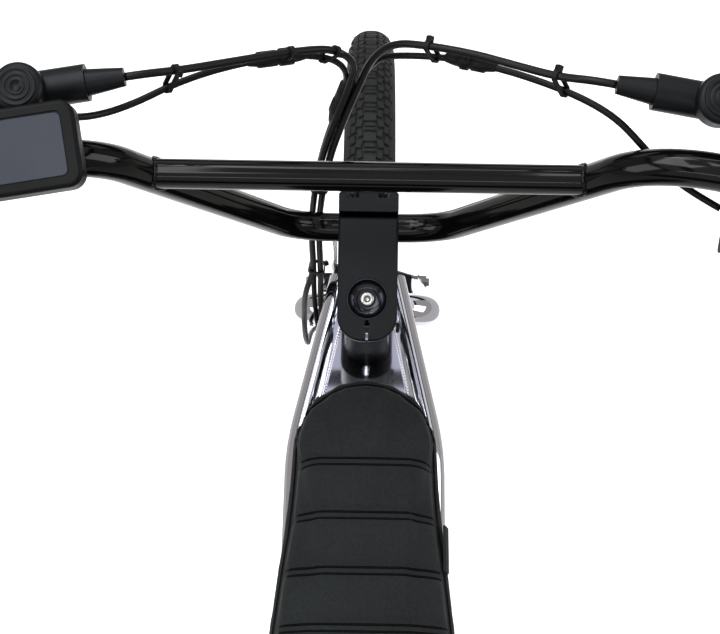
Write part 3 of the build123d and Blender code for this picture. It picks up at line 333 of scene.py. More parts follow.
def socketScrew(origin, axis, head, height, socket):
    # Socket cap screw: chamfered head, hexagon hole
    profile = [(head, 0), (head, height - 0.6), (head - 0.6, height), (socket + 0.4, height),
               (socket, height - 0.3), (socket, height - 2.4), (0.01, height - 2.6)]
    return lathe(profile, 24, alongAxis(origin, axis))


def weldBead(path, radius, ripple=2.4, ring=10):
    # Row of overlapping ripples, as a hand-laid bead has
    samples = []
    for a, b in zip(path, path[1:]):
        steps = max(2, int((b - a).length / (ripple / 1000 / 4)))
        samples += [a.lerp(b, i / steps) for i in range(steps)]
    points = []
    for i, centre in enumerate(samples):
        ahead = samples[min(i + 1, len(samples) - 1)]
        behind = samples[max(i - 1, 0)]
        turn = alongAxis(centre, ahead - behind)
        swell = radius * (0.78 + 0.22 * abs(math.sin(math.pi * i / 4))) / 1000
        if i in (0, len(samples) - 1):
            swell *= 0.3
        for k in range(ring):
            angle = 2 * math.pi * k / ring
            points.append(turn @ Vector((swell * math.cos(angle), swell * math.sin(angle), 0)))
    return points, skinRings(len(samples), ring)


def tubeAlong(line, radius, ring):
    # Round tube along a line without twist, closed at both ends
    points, side = [], None
    for i, centre in enumerate(line):
        direction = (line[min(i + 1, len(line) - 1)] - line[max(i - 1, 0)]).normalized()
        if side is None:
            side = direction.orthogonal().normalized()
        side = (side - direction * side.dot(direction)).normalized()
        other = direction.cross(side)
        for k in range(ring):
            angle = 2 * math.pi * k / ring
            points.append(centre + (side * math.cos(angle) + other * math.sin(angle)) * radius)
    ends = [tuple(reversed(range(ring))), tuple(range((len(line) - 1) * ring, len(line) * ring))]
    return points, skinRings(len(line), ring) + ends


# Seat: tuck and roll bench, in mm. The section has the cover's rings from its foot up: how far in, how high
seat = {
    "noseX": 252.5, "noseRadius": 57.0, "waistX": 120.0, "waistArc": 634.5, "flankArc": 3592.0,
    "tailX": -330.0, "tailRadius": 90.3, "base": 18.6, "proud": 1.5,
    "section": ((5.5, 0), (0, 3), (0, 22), (1, 28), (4, 33), (10, 36.5), (24, 38.0), (44, 38.6)),
    "voxel": 5.0, "pinnedUpTo": 6.0, "puffCap": 6.0, "puffPressure": 4.0, "stiffness": 30, "settleFrames": 20,
    "seams": 14, "firstSeam": 181.0, "seamPitch": 41.5, "bandWidth": 5.0,
    "grooveDepth": 3.2, "grooveFade": 5.0, "grooveEnd": 8.0,
    "rimInset": 2.5, "rimAtNose": 5.0, "rimDepth": 2.0, "rimWidth": 4.0,
    "stitchPitch": 3.6, "stitchShare": 0.68, "threadRadius": 0.9, "borderRadius": 1.0,
}
noseCentre = seat["noseX"] - seat["noseRadius"]
seamPlaces = [seat["firstSeam"] - number * seat["seamPitch"] for number in range(seat["seams"])]


def halfWidth(x):
    # Half the bench's width between its round ends: it widens from the waist back in a long flank
    s = seat
    if x > s["waistX"]:
        return s["noseRadius"] + s["waistArc"] - math.sqrt(s["waistArc"] ** 2 - (noseCentre - x) ** 2)
    return s["tailRadius"] - s["flankArc"] + math.sqrt(s["flankArc"] ** 2 - (x - s["tailX"]) ** 2)


def seatOutline(inset, arcSteps=44, waistSteps=12):
    # From the nose along the left side and round the tail, then back along the right side
    s = seat
    half = []
    for i in range(arcSteps):
        turn = math.pi / 2 * i / arcSteps
        r = s["noseRadius"] - inset
        half.append((noseCentre + r * math.cos(turn), r * math.sin(turn)))
    for first, last, steps in ((noseCentre, s["waistX"], waistSteps), (s["waistX"], s["tailX"], arcSteps)):
        for i in range(steps):
            x = first + (last - first) * i / steps
            half.append((x, halfWidth(x) - inset))
    for i in range(arcSteps + 1):
        turn = math.pi / 2 + math.pi / 2 * i / arcSteps
        r = s["tailRadius"] - inset
        half.append((s["tailX"] + r * math.cos(turn), r * math.sin(turn)))
    return half + [(x, -y) for x, y in reversed(half[1:-1])]


def noseShift(x):
    # The border's seam lies further in round the nose than along the sides
    return seat["rimAtNose"] * max(0, (x - noseCentre) / seat["noseRadius"]) ** 2


def edgeDistance(x, y):
    # Distance in mm from the bench's outline, positive inside
    if x > noseCentre:
        return seat["noseRadius"] - math.hypot(x - noseCentre, y)
    if x < seat["tailX"]:
        return seat["tailRadius"] - math.hypot(x - seat["tailX"], y)
    return halfWidth(x) - abs(y)


def seamSink(x, y):
    # How deep the seams draw the cloth in: a band across at each seam, and a line round the edge
    s = seat
    sink = 0
    for seamX in seamPlaces:
        near = abs(x - seamX)
        if near < s["seamPitch"] / 2:
            beside = max(0, near - s["bandWidth"] / 2)
            sink = s["grooveDepth"] * math.exp(-((beside / s["grooveFade"]) ** 1.2))
            sink *= min(1, edgeDistance(x, y) / s["grooveEnd"])
    rim = abs(edgeDistance(x + noseShift(x), y) - s["rimInset"])
    if rim < s["rimWidth"]:
        sink = max(sink, s["rimDepth"] * (1 - rim / s["rimWidth"]))
    return sink


def applyModifiers(piece):
    depsgraph = bpy.context.evaluated_depsgraph_get()
    mesh = bpy.data.meshes.new_from_object(piece.evaluated_get(depsgraph))
    piece.modifiers.clear()
    piece.data = mesh
    return mesh


def puffCover(piece):
    # Blow the cover up like cloth over foam, held at its foot, and no further than the cap
    s = seat
    start = [v.co.copy() for v in piece.data.vertices]
    foot = s["base"] + s["pinnedUpTo"]
    low = [i for i, co in enumerate(start) if co.z * 1000 < railHeight(co.x * 1000) + foot]
    piece.vertex_groups.new(name="pinned").add(low, 1.0, "REPLACE")
    cloth = piece.modifiers.new("puff", "CLOTH")
    cloth.settings.use_pressure = True
    cloth.settings.uniform_pressure_force = s["puffPressure"]
    cloth.settings.effector_weights.gravity = 0
    cloth.settings.vertex_group_mass = "pinned"
    cloth.settings.tension_stiffness = s["stiffness"]
    cloth.settings.compression_stiffness = s["stiffness"]
    cloth.point_cache.frame_start = 1
    cloth.point_cache.frame_end = s["settleFrames"]
    for number in range(1, s["settleFrames"] + 1):
        bpy.context.scene.frame_set(number)
    puffed = applyModifiers(piece)
    piece.vertex_groups.clear()
    bpy.context.scene.frame_set(1)
    for vertex, home in zip(puffed.vertices, start):
        move = vertex.co - home
        if move.length > s["puffCap"] / 1000:
            vertex.co = home + move.normalized() * s["puffCap"] / 1000


def makeSeat():
    s = seat
    points = []
    for inset, lift in s["section"]:
        outline = seatOutline(inset - s["proud"])
        points += [Vector((x, y, railHeight(x) + s["base"] + lift)) / 1000 for x, y in outline]
    levels, count = len(s["section"]), len(outline)
    faces = skinRings(levels, count)
    faces += [tuple(reversed(range(count))), tuple(range((levels - 1) * count, levels * count))]
    piece = addPiece("seat_cover", meshFrom("seat_cover", points, faces), "frame", "seat_fabric", seatCloth,
                     "seat_cushion")
    bpy.context.view_layer.objects.active = piece
    remesh = piece.modifiers.new("even", "REMESH")
    remesh.mode = "VOXEL"
    remesh.voxel_size = s["voxel"] / 1000
    applyModifiers(piece)
    puffCover(piece)
    divide = piece.modifiers.new("finer", "SUBSURF")
    divide.levels = 1
    divide.render_levels = 1
    finer = applyModifiers(piece)
    normals = [v.normal.copy() for v in finer.vertices]
    for vertex, normal in zip(finer.vertices, normals):
        if normal.z >= 0.15:
            vertex.co -= normal * seamSink(vertex.co.x * 1000, vertex.co.y * 1000) / 1000
    finer.materials.clear()
    finer.materials.append(seatCloth)
    for face in finer.polygons:
        face.use_smooth = True
    return piece


seatCover = makeSeat()
print("stage: seat", len(seatCover.data.polygons))


def addSeatStitches():
    s = seat
    thread = s["threadRadius"]
    tree = BVHTree.FromPolygons([v.co for v in seatCover.data.vertices],
                                [p.vertices for p in seatCover.data.polygons])

    def onTop(x, y):
        return tree.ray_cast(Vector((x / 1000, y / 1000, 1.0)), Vector((0, 0, -1)))[0]

    def stitch(a, b):
        # One length of thread, tapered at both ends
        half = (b - a).length * 500
        profile = [(0.01, -half), (thread * 0.7, -half * 0.92), (thread, -half * 0.6), (thread, half * 0.6),
                   (thread * 0.7, half * 0.92), (0.01, half)]
        return lathe(profile, 6, alongAxis((a + b) / 2, b - a))

    parts = []
    for seamX in seamPlaces:
        for side in (-1, 1):
            x = seamX + side * s["bandWidth"] / 2
            half = 0
            while edgeDistance(x, half + 4) > 3:
                half += 1
            # A continuous dark tube of thread along the seam's groove, under the stitches: painted shade in
            # the crease
            paintedCreaseShade = [onTop(x, y) for y in range(-half, half + 1, 4)]
            parts.append(tubeAlong([p for p in paintedCreaseShade if p], thread / 1000, 5))
            y = -half
            while y + s["stitchPitch"] < half:
                a, b = onTop(x, y), onTop(x, y + s["stitchPitch"] * s["stitchShare"])
                if a and b:
                    parts.append(stitch(a, b))
                y += s["stitchPitch"]
    addParts("seat_stitching_and_crease_shade", parts, "frame", "seat_fabric", threadAndCreaseShade)
    # Thin dark seam where the top panel meets the border
    seam = [onTop(x - noseShift(x), y) for x, y in seatOutline(s["rimInset"])]
    seam = [p for p in seam if p]
    border = tubeAlong(seam + seam[:1], s["borderRadius"] / 1000, 6)
    addParts("seat_border_seam", [border], "frame", "seat_fabric", threadAndCreaseShade)


addSeatStitches()
print("stage: stitching")

# Tyres: casing and moulded blocks, in mm. Middle blocks: share of a pitch, forward, length, width. Side
# blocks, one on each side: share of a pitch, across, length, width, lean, height
tyre = {
    "radius": wheelRadius, "crownRadius": 28.04, "crownAngle": 56, "treadDepth": 3.0,
    "steps": 144, "pitches": 72,
    "wall": ((281, 26.3), (273, 27.1), (267, 24.5), (262.4, 19.5), (261.2, 15.9), (254.2, 15.2)),
    "middleBlocks": ((0, 0, 9.5, 13.0), (0.5, -2.6, 2.9, 10.5), (0.5, 2.6, 2.9, 10.5)),
    "sideBlocks": ((0.27, 11.8, 8.6, 6.6, 0.25, 3.0), (0.77, 10.8, 8.2, 5.2, -0.25, 3.0),
                   (0, 20.5, 9.0, 6.4, -0.15, 3.0), (0.5, 19.0, 8.4, 5.2, 0, 3.0),
                   (0.5, 26.6, 9.6, 4.8, 0, 2.4)),
}
crownCentre = tyre["radius"] - tyre["crownRadius"]


def crownPoint(turn, lift):
    # Radius and y at an angle across the crown, lifted off the casing
    reach = tyre["crownRadius"] - tyre["treadDepth"] + lift
    return crownCentre + reach * math.cos(turn), reach * math.sin(turn)


def treadBlock(turn, across, length, width, lean, height):
    # One block: length round the tyre and width across, in mm; lean turns it
    points = []
    for lift, grow in ((-0.8, 0.9), (height * 0.82, 0.25), (height, -0.15)):
        for u, v in ((-1, -1), (1, -1), (1, 1), (-1, 1)):
            du = u * (length / 2 + grow)
            dv = v * (width / 2 + grow)
            du, dv = du * math.cos(lean) - dv * math.sin(lean), du * math.sin(lean) + dv * math.cos(lean)
            radius, y = crownPoint((across + dv) / tyre["crownRadius"], lift)
            angle = turn + du / tyre["radius"]
            points.append(Vector((radius * math.cos(angle), y, radius * math.sin(angle))) / 1000)
    return points, [(8, 9, 10, 11)] + skinRings(3, 4)


def makeTyre(name, wheel):
    t = tyre
    wall = list(t["wall"])
    profile = [(r, -y) for r, y in reversed(wall)]
    profile += [crownPoint(math.radians(t["crownAngle"]) * step / 10, 0) for step in range(-10, 11)] + wall
    points, faces = [], []
    for step in range(t["steps"]):
        turn = 2 * math.pi * step / t["steps"]
        for radius, y in profile:
            points.append(Vector((radius * math.cos(turn), y, radius * math.sin(turn))) / 1000)
    count = len(profile)
    for step in range(t["steps"]):
        after = (step + 1) % t["steps"]
        for i in range(count - 1):
            faces.append((step * count + i, step * count + i + 1, after * count + i + 1, after * count + i))
    casingFaces = len(faces)
    parts = [(points, faces)]
    pitch = 2 * math.pi / t["pitches"]
    for turn in [number * pitch for number in range(t["pitches"])]:
        for share, forward, length, width in t["middleBlocks"]:
            parts.append(treadBlock(turn + pitch * share + forward / t["radius"], 0, length, width, 0,
                                    t["treadDepth"]))
        for side in (-1, 1):
            for share, across, length, width, lean, height in t["sideBlocks"]:
                parts.append(treadBlock(turn + pitch * share, side * across, length, width, side * lean,
                                        height))
    points, faces = joinParts(parts)
    mesh = meshFrom(name + "_tread", [p + wheel["centre"] / 1000 for p in points], faces)
    addPiece(name + "_tread", mesh, wheel["body"], "tyre", curedRubber, name + "_tyre", smooth=False)
    for face in mesh.polygons[:casingFaces]:
        face.use_smooth = True


for name, wheel in wheels.items():
    makeTyre(name, wheel)
print("stage: tyres")

# Hoses and wires, in the steering frame: forward, left, up, in mm
hoses = {
    "front_hose": {"node": "front_brake_hose", "radius": 2.5, "crosses": False, "lead": [
        (118.6, 144.3, 798.4), (120.7, 132.5, 798.2), (126, 114, 786), (133, 93, 774), (141, 68, 761),
        (148, 44, 750), (153, 24, 736), (150, 10, 714)], "offset": (0, 3.0), "tail": [
        (13, 53, 458), (3, 55.5, 434), (-6, 56.5, 412), (-19, 57, 391), (-29, 57, 363), (-32, 56.5, 328),
        (-27, 58, 282), (-18, 58, 230), (-12, 54, 175), (-10.2, 47.5, 111.3), (1.9, 47.5, 88.6)]},
    "rear_hose": {"node": "rear_brake_hose", "radius": 2.5, "crosses": True, "lead": [
        (118.6, -144.3, 798.4), (120.7, -132.5, 798.2), (126, -112, 784), (136, -88, 770), (146, -62, 758),
        (153, -36, 747), (158, -14, 734), (153, 0, 712)], "offset": (0, -3.0), "tail": [
        (9, 40.5, 456), (-9, 40, 437), (-32, 37.5, 430), (-52.9, 35.9, 424.8), (-63.8, 32.1, 418.8)]},
    "display_lead": {"node": "display_wire", "radius": 2.2, "crosses": True, "lead": [
        (92, 184, 818.2), (93, 174, 802), (98, 160, 788), (107, 142, 779), (120, 121, 772), (131, 98, 764),
        (141, 72, 751), (149, 44, 736), (150, 20, 718)], "offset": (5.6, 3.0), "tail": [
        (14.5, 46.5, 452.5), (-5, 45.5, 431), (-29, 41.5, 422.5), (-50.3, 39.4, 418), (-61.2, 35.6, 412)]},
    "shift_line": {"node": "shift_cable", "radius": 2.2, "crosses": True, "lead": [
        (50, -214, 770), (60, -197, 768), (72, -180, 770), (87, -165, 775), (102, -150, 777),
        (114, -132, 774),
        (126, -108, 766), (138, -80, 753), (147, -52, 740), (152, -26, 726), (156, -4, 705)],
        "offset": (5.6, -3.0), "tail": [
        (14.5, 40.5, 452.5), (-5, 39.5, 431), (-29, 37.3, 421.5), (-48.5, 32.3, 419), (-59.4, 28.5, 413)]},
}
trunkLine = [(138, 11.5, 690), (119, 23, 657), (101, 32, 622), (84, 38, 583), (66, 42, 549), (47, 42.8, 518),
             (28, 42.5, 484)]


def nurbsLine(route):
    # Smooth line through the space of a route whose points are its control points
    curve = bpy.data.curves.new("line", "CURVE")
    curve.dimensions = "3D"
    spline = curve.splines.new("NURBS")
    spline.points.add(len(route) - 1)
    for point, place in zip(spline.points, route):
        point.co = (*place, 1)
    spline.order_u = 3
    spline.use_endpoint_u = True
    spline.resolution_u = 12
    holder = bpy.data.objects.new("line", curve)
    bpy.context.scene.collection.objects.link(holder)
    depsgraph = bpy.context.evaluated_depsgraph_get()
    mesh = bpy.data.meshes.new_from_object(holder.evaluated_get(depsgraph))
    line = [v.co.copy() for v in mesh.vertices]
    bpy.data.objects.remove(holder)
    bpy.data.curves.remove(curve)
    return line


def makeHose(name, hose):
    # The lines lie side by side in the trunk: an offset forward goes along its slope
    forward, left = hose["offset"]
    middle = [(x + forward * 0.86, y + left, z - forward * 0.5) for x, y, z in trunkLine]
    line = nurbsLine([steered(*p) for p in hose["lead"] + middle + hose["tail"]])
    body = None if hose["crosses"] else "steering"
    piece = addParts(name, [tubeAlong(line, hose["radius"] / 1000, 12)], body, "black_plastic", extrudedPvc,
                     hose["node"])
    if hose["crosses"]:
        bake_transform(piece)
    return line


hoseLines = {name: makeHose(name, hose) for name, hose in hoses.items()}

# Fittings on the lines: where, on which, and a connector's length and radius
leftPair, rightPair = ("front_hose", "display_lead"), ("rear_hose", "shift_line")
fittings = {
    "connectors": (((145, 58, 744), "display_lead", 30, 5.2), ((144, -64, 746), "shift_line", 22, 5.2),
                   ((128, 18, 673), "display_lead", 34, 5.6)),
    "ties": (((124, 118, 786), leftPair), ((146, 50, 752), leftPair), ((152, 22, 734), leftPair),
             ((126, -110, 784), rightPair), ((152, -36, 747), rightPair),
             ((84, 38, 583), leftPair + rightPair),
             ((28, 42.5, 484), leftPair + rightPair)),
    "tieWidth": 3.2, "tieThick": 1.1, "tieReach": 2.7, "tieSteps": 28, "headStep": 5, "headOut": 4.6,
    "tieHead": ((0.01, -2), (2.2, -2), (2.6, -1.4), (2.6, 1.4), (2.2, 2), (0.01, 2)),
}


def stationOn(line, goal):
    # Point of a line nearest to a goal, and the line's direction there
    index = min(range(1, len(line) - 1), key=lambda i: (line[i] - goal).length)
    return line[index], (line[index + 1] - line[index - 1]).normalized()


def barrel(goal, name, length, radius):
    # In-line connector: a stepped sleeve with a union nut, round one of the wires
    centre, axis = stationOn(hoseLines[name], steered(*goal))
    half = length / 2
    profile = [(2.3, -half - 7), (3.2, -half - 6), (radius - 1, -half), (radius, -half + 1), (radius, -1.5),
               (radius - 0.8, -1), (radius - 0.8, 1), (radius + 0.5, 1.5), (radius + 0.5, half - 5),
               (radius - 0.7, half - 4), (radius - 1, half), (3.2, half + 6), (2.3, half + 7)]
    return lathe(profile, 20, alongAxis(centre, axis))


def cableTie(goal, names):
    # Nylon band drawn round two or more lines, with its square head
    f = fittings
    base, axis = stationOn(hoseLines[names[0]], steered(*goal))
    frameAt = alongAxis(base, axis)
    back = frameAt.inverted()
    flat = []
    for name in names:
        line = hoseLines[name]
        place = min(line, key=lambda p: abs((back @ p).z) + 0.2 * (p - base).length)
        flat.append(back @ place)
    outline = []
    for step in range(f["tieSteps"]):
        turn = 2 * math.pi * step / f["tieSteps"]
        way = Vector((math.cos(turn), math.sin(turn), 0))
        pick = max(flat, key=lambda p: p.x * way.x + p.y * way.y)
        outline.append((Vector((pick.x, pick.y, 0)), way))
    inside, outside, half = f["tieReach"], f["tieReach"] + f["tieThick"], f["tieWidth"] / 2
    points, faces = [], []
    for centre, way in outline:
        for grow, height in ((inside, -half), (outside, -half), (outside, half), (inside, half)):
            points.append(frameAt @ (centre + (way * grow + Vector((0, 0, height))) / 1000))
    for step in range(f["tieSteps"]):
        after = (step + 1) % f["tieSteps"]
        for k in range(4):
            faces.append((step * 4 + k, after * 4 + k, after * 4 + (k + 1) % 4, step * 4 + (k + 1) % 4))
    centre, way = outline[f["headStep"]]
    head = frameAt @ (centre + way * f["headOut"] / 1000)
    return joinParts([(points, faces), lathe(f["tieHead"], 4, alongAxis(head, frameAt.to_3x3() @ way))])


addParts("wire_connectors", [barrel(*place) for place in fittings["connectors"]], "steering", "black_plastic",
         mouldedNylon)
addParts("cable_ties", [cableTie(*place) for place in fittings["ties"]], "steering", "black_plastic",
         mouldedNylon, smooth=False)
print("stage: hoses")

# Tubes that meet in a weld, in mm: a point on the middle line, the way, and the radius at which the bead
# lies. Of a pair, the left one. The last two are given along the steering's axes
tubes = {
    "rail": {"start": (-330, rail["left"], railHeight(-330)), "way": (1, 0, rail["slope"]), "radius": 11.2},
    "seatStay": {"start": (-529, 69, 347), "way": (199, -14.7, 355), "radius": 9.7, "bead": 1.8},
    "tailBridge": {"start": (-393, 0, railHeight(-393)), "way": (0, 1, 0), "radius": 9.2, "bead": 1.6},
    "seatCross": {"start": (-150, 0, railHeight(-150) - 1), "way": (0, 1, 0), "radius": 11.2, "bead": 1.6},
    "headTube": {"start": steerOrigin * 1000, "way": steerUp, "radius": 22.2},
    "downTube": {"start": (28, 0, 342), "way": (307.7, 0, 365.1), "radius": 27.2, "bead": 2.2},
    "barSide": {"start": (56, 56, 570), "way": (18, 111, 229), "radius": 11.2},
    "crossbar": {"start": (69.8, 0, 745), "way": (0, 1, 0), "radius": 9.7, "bead": 1.5},
}
gussetEdge = {"stations": (330, 305, 280, 255, 230, 209, 190, 165), "bendX": 209, "taper": 0.2194,
              "inside": 9.5, "height": 720.5, "slope": 0.11, "bead": 1.9}


def saddle(branchName, mainName, side, steps=40):
    # Closed line where a branch tube meets the surface of a main tube; side -1 gives the mirrored pair's
    branch, main = tubes[branchName], tubes[mainName]
    start, mainStart = mirrored(branch["start"], side), mirrored(main["start"], side)
    way, mainWay = mirrored(branch["way"], side).normalized(), mirrored(main["way"], side).normalized()
    first = way.orthogonal().normalized()
    second = way.cross(first)
    across = way - mainWay * way.dot(mainWay)
    line = []
    for step in range(steps + 1):
        turn = 2 * math.pi * step / steps
        point = start + (first * math.cos(turn) + second * math.sin(turn)) * branch["radius"]
        gap = point - mainStart
        gap -= mainWay * gap.dot(mainWay)
        a, b, c = across.dot(across), 2 * gap.dot(across), gap.dot(gap) - main["radius"] ** 2
        inside = b * b - 4 * a * c
        if inside >= 0:
            line.append(point + way * (-b - math.sqrt(inside)) / (2 * a))
    return line


def addWelds():
    # Beads where the tubes meet, hand laid and polished over
    g = gussetEdge
    beads = []
    for side in (-1, 1):
        edge = []
        for x in g["stations"]:
            reach = rail["left"] - max(x - g["bendX"], 0) * g["taper"] - g["inside"]
            edge.append(Vector((x, side * reach, g["height"] + (x - g["bendX"]) * g["slope"])) / 1000)
        beads.append(weldBead(edge, g["bead"]))
        for branch in ("seatStay", "tailBridge", "seatCross"):
            beads.append(weldBead([p / 1000 for p in saddle(branch, "rail", side)], tubes[branch]["bead"]))
    beads.append(weldBead([p / 1000 for p in saddle("downTube", "headTube", 1)], tubes["downTube"]["bead"]))
    addParts("frame_welds", beads, "frame", "chrome", chromePlate)
    beads = [weldBead([steered(*p) for p in saddle("crossbar", "barSide", side)], tubes["crossbar"]["bead"])
             for side in (-1, 1)]
    addParts("bar_welds", beads, "steering", "black_gloss", blackPowderCoat)


# Screws in mm. Each size is head radius, height and socket radius; angles run round the axle
screws = {
    "faceplate": {"forward": 77.1, "lefts": (-16, 16), "ups": (558, 582), "size": (4.2, 4.0, 2.2)},
    "pinch": {"forward": -21, "left": -22.4, "ups": (561, 579), "size": (4.0, 2.5, 2.2)},
    "cap": {"up": 584.2, "size": (5.1, 3.4, 2.4)},
    "motorCover": {"radius": 50, "left": 42, "angles": range(20, 380, 60), "size": (3.6, 1.8, 1.6)},
    "chainring": {"radius": 31, "left": -56.2, "angles": range(90, 450, 72), "size": (4.2, 2.0, 1.9)},
    "crankArm": {"left": 75, "size": (7.5, 3, 4),
                 "washer": ((16.4, 0), (16.4, 1.2), (15.2, 1.6), (12, 1.6), (11.4, 0.6))},
    "rotor": {"radius": 16.5, "off": 1, "angles": range(15, 375, 60), "size": (2.6, 1.6, 1.2)},
}


def addScrews():
    left = Vector((0, 1, 0))
    face, pinch, cap = screws["faceplate"], screws["pinch"], screws["cap"]
    dark = [socketScrew(steered(face["forward"], y, z), steerForward, *face["size"])
            for y in face["lefts"] for z in face["ups"]]
    # The pinch screws cross the stem's slit, from the right
    dark += [socketScrew(steered(pinch["forward"], pinch["left"], z), -left, *pinch["size"])
             for z in pinch["ups"]]
    addParts("steering_screws", dark, "steering", "black_satin", blackOxide)
    # The cap's bolt is bright, sunk in its dish
    bolt = socketScrew(steered(0, 0, cap["up"]), steerUp, *cap["size"])
    addParts("cap_screw", [bolt], "steering", "bright_steel", platedSteel)
    cover, ring, arm = screws["motorCover"], screws["chainring"], screws["crankArm"]
    parts = [socketScrew(roundAxle(crankAxle, cover["radius"], angle, side * cover["left"]) / 1000,
                         left * side, *cover["size"]) for side in (-1, 1) for angle in cover["angles"]]
    addParts("motor_screws", parts, "frame", "black_satin", blackOxide)
    parts = [socketScrew(roundAxle(crankAxle, ring["radius"], angle, ring["left"]) / 1000,
                         -left, *ring["size"]) for angle in ring["angles"]]
    for side in (-1, 1):
        end = (crankAxle + left * side * arm["left"]) / 1000
        parts.append(socketScrew(end, left * side, *arm["size"]))
        parts.append(lathe(arm["washer"], 40, alongAxis(end, left * side)))
    addParts("crank_screws", parts, "crankset", "black_satin", blackOxide)


# Spokes end at nipples in the rim. A hub's sides: which side, and how far out its flange is
wheelTrim = {
    "perSide": 16, "rimRadius": 238.7, "stagger": 1.6, "rimOff": 4, "rimStagger": 2,
    "nipple": ((2.3, -1), (2.3, 3), (1.9, 3.4), (1.6, 11), (1.15, 12)),
    "valve": ((3.2, -1), (3.2, 3), (2.6, 4), (2.6, 24), (3.4, 24.5), (3.4, 35), (2.2, 38), (0.01, 38)),
    "hubs": {"front": {"cross": 67.5, "flange": 24.0, "sides": ((-1, -32.0), (1, 26.0))},
             "rear": {"cross": 45.0, "flange": 49.0, "sides": ((-1, -26.0), (1, 28.0))}},
}


def addWheelTrim():
    # Spoke nipples at the rim, one valve on each wheel and the screws of its brake disc
    w, rotor = wheelTrim, screws["rotor"]
    for name, hub in w["hubs"].items():
        centre, body = wheels[name]["centre"], wheels[name]["body"]
        parts = []
        for side, flangeY in hub["sides"]:
            for number in range(w["perSide"]):
                leading = 1 if number % 2 else -1
                turn = 360 / w["perSide"] * (number + (0 if side < 0 else 0.5))
                start = roundAxle(centre, hub["flange"], -turn, flangeY + side * leading * w["stagger"])
                end = roundAxle(centre, w["rimRadius"], -turn - leading * hub["cross"],
                                side * (w["rimOff"] + leading * w["rimStagger"]))
                parts.append(lathe(w["nipple"], 8, alongAxis(end / 1000, start - end)))
        foot = centre - Vector((0, 0, w["rimRadius"] + 0.1))
        parts.append(lathe(w["valve"], 16, alongAxis(foot / 1000, (0, 0, 1))))
        addParts(name + "_nipples", parts, body, "bright_steel", platedSteel)
        face = wheels[name]["rotorY"] + rotor["off"]
        parts = [socketScrew(roundAxle(centre, rotor["radius"], angle, face) / 1000,
                             (0, 1, 0), *rotor["size"]) for angle in rotor["angles"]]
        addParts(name + "_rotor_screws", parts, body, "black_satin", blackOxide)


# Chain in mm: radii of its line on both toothed wheels, half length and half height of a plate, its
# thickness, and how far off the middle line the inner and the outer plates lie
chain = {
    "pitch": 12.7, "left": -50.0, "ringRadius": 89.0, "cogRadius": 36.57, "plate": (10.4, 4.2), "thick": 0.9,
    "inner": 1.9, "outer": 3.0, "waist": 0.78, "corners": 20,
    "roller": ((0.01, -4.0), (1.6, -4.0), (1.8, -3.8), (1.8, -1.8), (3.6, -1.7),
               (3.6, 1.7), (1.8, 1.8), (1.8, 3.8), (1.6, 4.0), (0.01, 4.0)),
}


def chainPath():
    # Closed line round the chainring and the sprocket, touching both
    c = chain
    cogCentre = wheels["rear"]["centre"]
    run = cogCentre - crankAxle
    base = math.degrees(math.atan2(run.z, run.x))
    lean = math.degrees(math.acos((c["ringRadius"] - c["cogRadius"]) / run.length))
    path = [roundAxle(crankAxle, c["ringRadius"], base + lean + (360 - 2 * lean) * step / 120, c["left"])
            for step in range(121)]
    path += [roundAxle(cogCentre, c["cogRadius"], base - lean + 2 * lean * step / 60, c["left"])
             for step in range(61)]
    return path + path[:1]


def addChain():
    # Roller chain: inner and outer links by turns
    c = chain
    path = chainPath()
    lengths = [0]
    for a, b in zip(path, path[1:]):
        lengths.append(lengths[-1] + (b - a).length)
    count = 2 * round(lengths[-1] / c["pitch"] / 2)
    step = lengths[-1] / count

    def at(distance):
        distance %= lengths[-1]
        i = max(k for k in range(len(lengths) - 1) if lengths[k] <= distance)
        return path[i].lerp(path[i + 1], (distance - lengths[i]) / (lengths[i + 1] - lengths[i]))

    parts = []
    corners = c["corners"]
    for number in range(count):
        a, b = at(number * step), at((number + 1) * step)
        way = (b - a).normalized()
        up = Vector((-way.z, 0, way.x))
        reach = c["outer"] if number % 2 else c["inner"]
        outline = []
        for k in range(corners):
            turn = 2 * math.pi * k / corners
            along, high = c["plate"][0] * math.cos(turn), c["plate"][1] * math.sin(turn)
            high *= c["waist"] + (1 - c["waist"]) * min(abs(along) / 6, 1)
            outline.append((a + b) / 2 + way * along + up * high)
        for side in (-1, 1):
            points = [(p + Vector((0, side * y, 0))) / 1000
                      for y in (reach, reach + c["thick"]) for p in outline]
            ends = [tuple(reversed(range(corners))), tuple(range(corners, 2 * corners))]
            parts.append((points, ends + skinRings(2, corners)))
        parts.append(lathe(c["roller"], 12, alongAxis(a / 1000, (0, 1, 0))))
    addParts("chain_links", parts, "frame", "bright_steel", chainSteel, "chain", smooth=False)


pedalPins = {"fromEnd": 12, "fromEdge": 9, "perEdge": 4,
             "profile": ((2.6, -0.5), (2.6, 0.8), (1.7, 0.9), (1.7, 3.2), (1.3, 3.6), (0.01, 3.6))}


def addPedalPins():
    # Grip pins on both faces of each pedal, along its two long edges
    p = pedalPins
    for name in ("left_pedal", "right_pedal"):
        corners = [cad[name].matrix_world @ Vector(c) * 1000 for c in cad[name].bound_box]
        low, high = [[pick(c[axis] for c in corners) for axis in range(3)] for pick in (min, max)]
        apart = (high[1] - low[1] - 2 * p["fromEnd"]) / (p["perEdge"] - 1)
        pins = []
        for x in (low[0] + p["fromEdge"], high[0] - p["fromEdge"]):
            for number in range(p["perEdge"]):
                y = low[1] + p["fromEnd"] + number * apart
                for z, way in ((low[2], -1), (high[2], 1)):
                    pins.append(lathe(p["profile"], 12, alongAxis(Vector((x, y, z)) / 1000, (0, 0, way))))
        addParts(name + "_pins", pins, name, "bright_steel", dullZinc)


